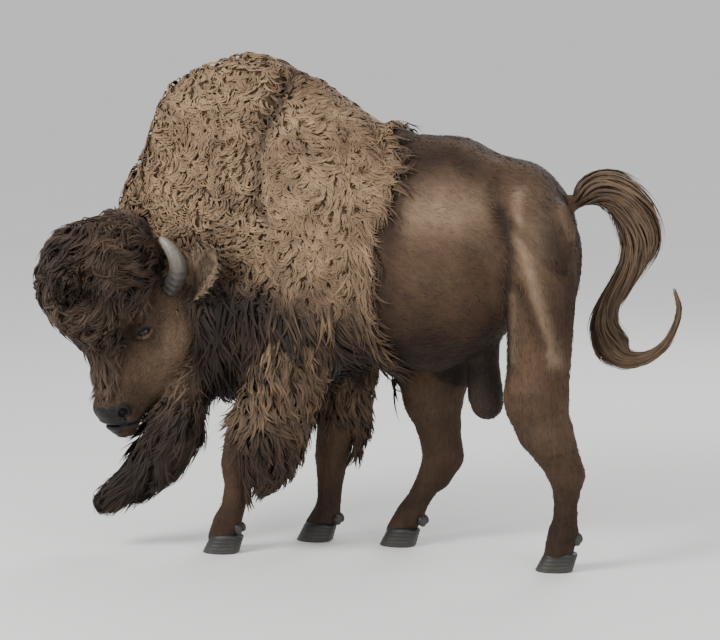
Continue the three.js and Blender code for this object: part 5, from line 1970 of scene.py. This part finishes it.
# Each row: name, area, number of locks, then the guides' spacing, the locks' length and width, their rings, and
# how high they rise from the skin.
COATS = (
    Hair("neck_left", woolly(-1, True), 6000, 0.024, 0.060, 0.0085, 5, 0.017,
         curl=3.4, wave=0.9, clump=0.6, thick=0.26),
    Hair("hump_left", woolly(-1, False), 9000, 0.026, 0.060, 0.0088, 5, 0.017,
         curl=3.2, wave=0.9, clump=0.6, thick=0.26),
    Hair("hump_right", woolly(1), 5200, 0.032, 0.074, 0.0130, 5, 0.019,
         curl=2.8, wave=0.7, clump=0.6, thick=0.26),
    Hair("throat", throat_area, 3400, 0.034, 0.150, 0.0125, 6, 0.032,
         curl=1.0, wave=0.4, clump=0.7, free=0.9, drop=0.7),
    Hair("cape_edge", cape_edge_area, 1600, 0.030, 0.095, 0.0090, 6, 0.024, curl=1.2, wave=0.4, clump=0.8),
    Hair("bonnet", bonnet_area, 5800, 0.034, 0.115, 0.0095, 6, 0.038,
         curl=1.8, wave=0.5, scatter=0.35, clump=0.75, free=0.2, stretch=bonnet_stretch),
    Hair("fringe", fringe_area, 2200, 0.022, 0.105, 0.0075, 6, 0.016,
         curl=1.0, wave=0.3, clump=0.7, free=0.2, stretch=fringe_stretch),
    Hair("face", face_area, 7000, 0.022, 0.019, 0.0032, 4, 0.0036,
         wave=0.3, scatter=0.2, clump=0.2, soft=0.9, stretch=face_stretch),
    Hair("jaw", jaw_area, 1900, 0.026, 0.060, 0.0052, 6, 0.012,
         curl=0.8, wave=0.3, clump=0.7, free=0.5, drop=0.5, thick=0.38),
    Hair("beard", beard_area, 4300, 0.034, 0.185, 0.0088, 7, 0.034,
         curl=0.8, wave=0.4, clump=0.75, free=0.5, stretch=beard_stretch),
    Hair("sleeves", in_zone(Zone.SLEEVE), 4200, 0.034, 0.110, 0.0110, 6, 0.028,
         curl=1.4, wave=0.5, clump=0.8, free=0.8, drop=0.3, flare=1.3, stretch=sleeve_stretch),
    Hair("rear", sleek_area, 6400, 0.030, 0.034, 0.0034, 3, 0.0026,
         wave=0.3, scatter=0.18, clump=0.1, soft=1.0, thick=0.2),
    Hair("legs", in_zone(Zone.LEG, Zone.SCROTUM), 4600, 0.024, 0.021, 0.0026, 3, 0.0022,
         scatter=0.2, clump=0.1, soft=1.0, thick=0.2),
    Hair("ears", ear_area, 2000, 0.012, 0.046, 0.0030, 5, 0.0, curl=0.6, wave=0.3, clump=0.6, thick=0.38),
)
TAIL_HAIR = Hair("tail", in_zone(Zone.TAIL), 1650, 0, 0, 0.0084, 11, 0, curl=4.0, wave=0.14, free=0.45)
WISP_HAIR = Hair("wisp", in_zone(Zone.TAIL), 360, 0, 0, 0.0052, 10, 0, curl=4.0, wave=0.3, free=1.2, thick=0.38)

# ---- horns, eyes and hooves


@dataclass
class Pair:
    """Two pieces of the head, one on each side."""

    maker: MeshMaker

    def build(self) -> list[Piece]:
        """Makes both of them."""
        return [self.piece(name, sign) for name, sign in SIDES]


@dataclass
class Horns(Pair):
    """The two short horns: out, up, and in at the tips."""

    radius: float = 0.030
    point: float = 0.004
    rings: int = 72
    sides: int = 44

    def piece(self, name: str, sign: int) -> Piece:
        """One horn, ridged across near its root.

        Args:
            name: left or right.
            sign: -1 for the left.

        Returns:
            The piece.
        """
        base, bulge, tip = (from_near(np.array(place) * MM, sign) for place in HORN_MM.values())
        control = 2 * bulge - (base + tip) / 2
        t = np.linspace(0, 1, self.rings)[:, None]
        path = base * (1 - t) ** 2 + control * 2 * t * (1 - t) + tip * t * t
        heading = unit(2 * (control - base) * (1 - t) + 2 * (tip - control) * t)
        side = unit(np.cross(heading, HEAD[2]))
        up = np.cross(side, heading)
        turn = circle(self.sides)
        share = t[:, 0]
        size = self.radius * np.sqrt(np.maximum(1 - share**2.2, 0)) + self.point
        size[-3:] *= (0.93, 0.75, 0.4)
        ridge = 0.0011 * np.sin(share * 62 + 0.8 * np.sin(share * 9)) * fall(share, 0.62, 0.4)
        flutes = 0.0005 * np.sin(turn * 13)[None] + 0.0006 * np.sin(turn * 7 + share[:, None] * 3)
        reach = (size + ridge)[:, None] + flutes * (1 - share)[:, None]
        rings = path[:, None] + reach[..., None] * (
            np.cos(turn)[None, :, None] * side[:, None] + np.sin(turn)[None, :, None] * up[:, None]
        )
        corners, quads, fans = loft(rings)
        grown = np.stack(np.broadcast_arrays(t, np.cos(turn)[None], np.sin(turn)[None]), -1).reshape(-1, 3)
        grown = np.vstack([grown, [[0, 0, 0], [1, 0, 0]]])
        return self.maker.build(f"horn_{name}_shell", corners, [quads, fans], notes={"growth": grown})


@dataclass
class Eyes(Pair):
    """The eyeballs, each with its cornea."""

    rows: int = 28
    columns: int = 40

    def piece(self, name: str, sign: int) -> Piece:
        """One eye, its pole where it looks out.

        Args:
            name: left or right.
            sign: -1 for the left.

        Returns:
            The piece.
        """
        tilt = np.linspace(0.02, math.pi - 0.02, self.rows)[:, None]
        turn = circle(self.columns)[None]
        reach = EYE.ball * (1 + 0.045 * bell(tilt / 0.55))
        along, up = np.sin(tilt) * np.cos(turn), np.sin(tilt) * np.sin(turn)
        out = np.broadcast_to(np.cos(tilt), along.shape)
        way = along[..., None] * EYE_LONG + up[..., None] * EYE_UP + out[..., None] * EYE_OUT
        q = EYE_AT + way * reach[..., None]
        corners, quads, fans = loft(from_near(q, sign))
        grown = np.stack([along, up, out], -1).reshape(-1, 3)
        grown = np.vstack([grown, [[0, 0, 1], [0, 0, -1]]])
        return self.maker.build(f"eye_{name}_ball", corners, [quads, fans], notes={"growth": grown})


@dataclass
class Hooves:
    """The cloven hooves: two claws in front and two dewclaws behind on each foot."""

    maker: MeshMaker
    length: float = 0.132
    width: float = 0.052
    height: float = 0.072
    split: float = 0.005
    taper: float = 0.13
    lean: float = 0.028
    rows: int = 26
    steps: int = 40
    dew: tuple[float, float, float] = (0.015, 0.012, 0.020)
    dew_spread: float = 0.024
    dew_tilt: float = -0.5

    def build(self) -> list[tuple[Piece, str]]:
        """Makes every claw and dewclaw, each with the name of the solid that it stands for."""
        pieces = []
        for leg, hoof in HOOVES_MM.items():
            sign = -1 if leg.endswith("left") else 1
            for place, side in (("outer", sign), ("inner", -sign)):
                claw = self.place(f"claw_{leg}_{place}_wall", self.claw(side), hoof, sign)
                dewclaw = self.place(f"dewclaw_{leg}_{place}_nub", self.dewclaw(side), hoof, sign)
                pieces += [(claw, f"claw_{leg}_{place}"), (dewclaw, f"dewclaw_{leg}_{place}")]
        return pieces

    def claw(self, side: int) -> tuple[Array, bool]:
        """Rings of one claw: flat inside, its wall sloping back from the toe to a soft upper rim."""
        h = np.linspace(0, 1, self.rows)[:, None]
        turn = np.linspace(0, math.pi, self.steps)[None]
        edge = 1 - 0.06 * np.clip(1 - h / 0.06, 0, 1) ** 2 - 0.20 * np.clip((h - 0.86) / 0.14, 0, 1) ** 2
        grown = 1 + 0.010 * np.sin(h * 34 + 0.7 * np.sin(turn * 2)) * fall(h, 0.95, 0.2)
        size = (1 - self.taper * h) * edge * grown
        x = -np.cos(turn) * self.length / 2 * size + self.lean * h
        bulge = 1 + 0.04 * np.sin(h * math.pi)
        y = self.split / 2 + self.width * np.sin(turn) ** 0.75 * size * bulge
        back = smooth_step((np.cos(turn) * -1 - 0.35) / 0.65)
        z = self.height * h * (1 - 0.10 * back * h) + 0 * turn
        return np.stack([x, y * side, z], -1), True

    def dewclaw(self, side: int) -> tuple[Array, bool]:
        """Rings of one dewclaw, blunt and tilted back."""
        tilt = np.linspace(0.05, math.pi - 0.05, 16)[:, None]
        turn = circle(24)[None]
        depth, width, height = self.dew
        grown = 1 + 0.03 * np.sin(tilt * 14)
        x = np.sin(tilt) * np.cos(turn) * depth * grown
        y = np.sin(tilt) * np.sin(turn) * width * grown
        z = -np.cos(tilt) * height + 0 * turn
        cosine, sine = math.cos(self.dew_tilt), math.sin(self.dew_tilt)
        return np.stack([x * cosine + z * sine, y + side * self.dew_spread, z * cosine - x * sine], -1), False

    def place(self, name: str, shape: tuple[Array, bool], hoof: Sequence[float], sign: int) -> Piece:
        """Puts one shape in its foot.

        Args:
            name: The piece's name.
            shape: Its rings about the foot's own point, and whether it is a claw.
            hoof: x, |y| and turn of the foot, and x and z of its dewclaws.
            sign: -1 on the left.

        Returns:
            The piece.
        """
        rings, is_claw = shape
        x, y, turn, dew_x, dew_z = hoof
        corners, quads, fans = loft(rings)
        rows = rings.shape[0]
        along = np.repeat(np.linspace(1, 0, rows), rings.shape[1])
        around = np.tile(np.linspace(0, 1, rings.shape[1]), rows)
        if is_claw:
            cosine, sine = math.cos(math.radians(turn)), math.sin(math.radians(turn))
            spin = np.array([[cosine, sine, 0], [-sine, cosine, 0], [0, 0, 1]])
            corners = corners @ spin + np.array([x, sign * y, 0]) * MM
        else:
            corners = corners + np.array([dew_x, sign * y, dew_z]) * MM
        grown = np.vstack([np.stack([along, around, 0 * along], 1), [[1, 0.5, 0], [0, 0.5, 0]]])
        return self.maker.build(name, corners, [quads, fans], notes={"growth": grown})


@dataclass
class Bristles:
    """Lashes and whiskers: one thin curved cone for each point of a sheet of points, through Geometry Nodes."""

    maker: MeshMaker
    skin: Skin
    thickness: float = 0.0006
    sides: int = 5

    def lashes(self) -> tuple[Array, Array, Array]:
        """Where the lashes stand on the upper lids, where they point, and how long they are."""
        places, aims, sizes = [], [], []
        rng = np.random.default_rng(41)
        for _, sign in SIDES:
            for t in np.linspace(-0.92, 0.92, 34):
                along = t * EYE.half_width
                lift = EYE.upper * (1 - t * t) + 0.0006
                depth = math.sqrt(max(EYE.lid**2 - along**2 - lift**2, 1e-6)) - 0.0005
                aim = EYE_OUT - EYE_UP * rng.uniform(0.25, 0.6)
                aim = unit(aim + EYE_LONG * (0.7 * t + rng.normal(0, 0.1)))
                place = EYE_AT + EYE_LONG * along + EYE_UP * lift + EYE_OUT * depth
                places.append(from_near(place, sign))
                aims.append(aim * (1, -sign, 1) @ HEAD)
                sizes.append(rng.uniform(0.016, 0.024))
        return np.array(places), np.array(aims), np.array(sizes)

    def whiskers(self) -> tuple[Array, Array, Array]:
        """Short stiff hairs on the lips and chin."""
        rng = np.random.default_rng(42)
        q = to_head(self.skin.corners)
        lips = (q[:, 0] > 0.47) & (q[:, 2] < -0.09) & (self.skin.zones == Zone.HEAD)
        chosen = rng.choice(np.flatnonzero(lips), 190, replace=False)
        places, normals = self.skin.corners[chosen], self.skin.normals[chosen]
        aims = unit(normals + np.array([0, 0, -0.5]) + rng.normal(0, 0.2, normals.shape))
        return places - normals * 0.001, aims, rng.uniform(0.014, 0.032, len(chosen))

    def build(self, name: str, spots: tuple[Array, Array, Array], material: Material) -> Piece:
        """Grows one bristle at each spot.

        Args:
            name: The piece's name.
            spots: Places, aims and lengths.
            material: What the bristles wear.

        Returns:
            A plain mesh of all of them.
        """
        places, aims, sizes = spots
        sheet = self.maker.build(f"{name}_spots", places, [np.zeros((0, 3), int)], notes={"aim": aims})
        sheet.data.attributes.new("size", "FLOAT", "POINT")
        sheet.data.attributes["size"].data.foreach_set("value", sizes.astype(np.float32))
        tree = self.tree(material)
        modifier = sheet.modifiers.new("bristles", "NODES")
        modifier.node_group = tree
        for socket in tree.interface.items_tree:
            if socket.name in ("Thickness", "Sides"):
                modifier[socket.identifier] = getattr(self, socket.name.lower())
        bpy.context.view_layer.update()
        grown = sheet.evaluated_get(bpy.context.evaluated_depsgraph_get())
        mesh = bpy.data.meshes.new_from_object(grown)
        sheet.modifiers.remove(modifier)
        bpy.data.objects.remove(sheet)
        return linked(name, mesh)

    @staticmethod
    def tree(material: Material) -> bpy.types.NodeTree:
        """The tree that puts a cone on each point, aimed and sized by the point's own notes."""
        tree = bpy.data.node_groups.new("bristles", "GeometryNodeTree")
        for name, way, kind in (
            ("Points", "INPUT", "Geometry"), ("Thickness", "INPUT", "Float"), ("Sides", "INPUT", "Int"),
            ("Bristles", "OUTPUT", "Geometry"),
        ):
            tree.interface.new_socket(name, in_out=way, socket_type=f"NodeSocket{kind}")
        nodes = Nodes(tree)
        inputs = ("Points", "Thickness", "Sides")
        points, thick, count = (nodes.add("NodeGroupInput", output=name) for name in inputs)
        sizes = {"Side Segments": 3, "Radius Top": 0.00008, "Radius Bottom": thick, "Depth": 1.0}
        cone = nodes.add("GeometryNodeMeshCone", {"fill_type": "NGON"}, {"Vertices": count, **sizes})
        aim, size = (
            nodes.add("GeometryNodeInputNamedAttribute", {"data_type": kind}, {"Name": note}, "Attribute")
            for kind, note in (("FLOAT_VECTOR", "aim"), ("FLOAT", "size"))
        )
        turned = nodes.add("FunctionNodeAlignRotationToVector", {"axis": "Z"}, {"Vector": aim})
        scale = nodes.add("ShaderNodeCombineXYZ", {}, {0: 1.0, 1: 1.0, 2: size})
        placed = nodes.add(
            "GeometryNodeInstanceOnPoints", {},
            {"Points": points, "Instance": cone, "Rotation": turned, "Scale": scale},
        )
        real = nodes.add("GeometryNodeRealizeInstances", {}, {0: placed})
        dressed = nodes.add("GeometryNodeSetMaterial", {}, {"Geometry": real, "Material": material})
        nodes.add("NodeGroupOutput", {}, {"Bristles": dressed})
        return tree


# ---- studio


@dataclass(frozen=True)
class Studio:
    """Camera, floor and lights."""

    shift: Array
    aim: tuple[float, float, float] = (0.111, 0.0, 0.845)
    distance: float = 9.0
    azimuth: float = math.radians(14)
    elevation: float = math.radians(8)
    lens: float = 125.0

    def build(self) -> None:
        """Sets up everything that isn't the animal."""
        self.camera()
        self.floor()
        self.lights()

    def camera(self) -> None:
        """The camera, level and looking at the animal's near side from a little behind."""
        data = bpy.data.cameras.new("camera")
        data.lens, data.sensor_width = self.lens, 36.0
        camera = linked("camera", data)
        target = np.array(self.aim) + self.shift
        turn, lift = self.azimuth, self.elevation
        back = np.array([math.sin(turn) * math.cos(lift), -math.cos(turn) * math.cos(lift), math.sin(lift)])
        camera.location = Vector(target + back * self.distance)
        camera.rotation_euler = Vector(-back).to_track_quat("-Z", "Y").to_euler()
        bpy.context.scene.camera = camera

    def floor(self) -> None:
        """A wide pale floor."""
        size = 400.0
        corners = np.array([(-size, -size, 0), (size, -size, 0), (size, size, 0), (-size, size, 0)])
        floor = MeshMaker(np.zeros(3)).build("studio_floor", corners, [np.array([[0, 1, 2, 3]])])
        nodes = Paint("pale_floor", {"Roughness": 0.85})
        tone = nodes.mix(nodes.noise(0.8, 3), (0.72, 0.71, 0.69, 1), (0.76, 0.75, 0.73, 1))
        floor.data.materials.append(nodes.finish({"Base Color": tone}))
        floor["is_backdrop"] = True

    def lights(self) -> None:
        """A broad key from the upper left, a fill, a rim behind, and a pale sky."""
        world = bpy.data.worlds.new("studio")
        bpy.context.scene.world = world
        world.use_nodes = True
        sky = {"Color": (0.97, 0.98, 1.0, 1), "Strength": 0.95}
        Nodes(world.node_tree).feed(world.node_tree.nodes["Background"], sky)
        for name, place, size, power in (
            ("key", (-3.4, -4.4, 4.6), 2.2, 460.0), ("fill", (4.5, -4.0, 2.4), 3.0, 130.0),
            ("rim", (1.5, 4.5, 4.2), 2.5, 125.0),
        ):
            data = bpy.data.lights.new(name, "AREA")
            data.energy, data.size = power, size
            light = linked(name, data)
            light.location = Vector(place)
            light.rotation_euler = (Vector((0, 0, 0.9)) - light.location).to_track_quat("-Z", "Y").to_euler()


# ---- the whole animal


SKIN_NODES = (
    "head", "forelock", "neck", "forequarters", "barrel", "hindquarters", "scrotum", "beard", "ear_left",
    "ear_right", "tail_root", "tail_arch", "tail_drop", "tail_tuft",
    *(f"{part}_{side}" for side, _ in SIDES for part in
      ("thigh", "hind_shank", "hind_lower", "foreleg_upper", "foreleg_lower", "foreleg_fringe")),
)
SLOTS = {
    "neck_left": "wool", "hump_left": "wool", "hump_right": "wool", "cape_edge": "wool", "rear": "sleek_hair",
    "legs": "sleek_hair", "face": "sleek_hair",
}
# How far hair may pass the solids' box, and its least height over the floor.
OVERHANG, CLEARANCE = 0.015, 0.003


def dress(piece: Piece, material: Material, replaced: Sequence[str] = ()) -> None:
    """Gives a piece its material and its body, and hides the solids that it stands for.

    Args:
        piece: The piece.
        material: What it wears.
        replaced: Names of the solids that it hides.
    """
    if not piece.data.materials:
        piece.data.materials.append(material)
    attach(piece, "root")
    if replaced:
        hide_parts(*replaced)
    LOG.info("%s: %d faces", piece.name, len(piece.data.polygons))


def main() -> None:
    """Builds the animal and its studio."""
    logging.basicConfig(level=logging.INFO, format="%(message)s")
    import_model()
    solid_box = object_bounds()
    low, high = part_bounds("eye_left")
    shift = (np.array(low) + np.array(high)) / 2 - from_head(EYE_SOLID_AT)
    shift[2] = 0.0
    Studio(shift).build()
    maker = MeshMaker(shift)
    grid = DistanceGrid()
    skin = Skin(maker)
    finish = HairFinish()
    coats = {
        "long_hair": finish.coat("coat_hair", 0.5, 1.0), "wool": finish.coat("wool", 0.82, 0.8),
        "sleek_hair": finish.coat("short_coat", 1.4, 0.25),
    }
    dress(skin.build(grid), finish.skin(), SKIN_NODES)
    room = [np.array(corner) - shift + reach for corner, reach in zip(solid_box, (-OVERHANG, OVERHANG))]
    room[0][2] = CLEARANCE
    coat = Coat(maker, skin, grid, (room[0], room[1]))
    for seed, hair in enumerate(COATS):
        slot = SLOTS.get(hair.name, "long_hair")
        dress(coat.grow(hair, seed + 100), coats[slot])
    long_coat = coats["long_hair"]
    dress(coat.flowing(TAIL_HAIR, TAIL_FLOW, (0, 0.66), 0.2, 89), long_coat)
    dress(coat.flowing(WISP_HAIR, TAIL_FLOW, (0.62, 0.93), 0.2, 90), long_coat, ["tail_wisp"])
    horn = HornFinish("horn_sheath", (0.040, 0.034, 0.030), (0.190, 0.165, 0.135), 0.40).material()
    for piece, (side, _) in zip(Horns(maker).build(), SIDES):
        dress(piece, horn, [f"horn_{side}"])
    wet = EyeFinish().material()
    for piece, (side, _) in zip(Eyes(maker).build(), SIDES):
        dress(piece, wet, [f"eye_{side}"])
    wall = HornFinish("hoof_wall", (0.012, 0.011, 0.010), (0.042, 0.036, 0.030), 0.5).material()
    for piece, node in Hooves(maker).build():
        dress(piece, wall, [node])
    bristles = Bristles(maker, skin)
    black = HornFinish("bristle", (0.012, 0.010, 0.009), (0.020, 0.016, 0.014), 0.5).material()
    dress(bristles.build("lashes", bristles.lashes(), black), black)
    dress(bristles.build("whiskers", bristles.whiskers(), black), black)


if __name__ == "__main__":
    main()
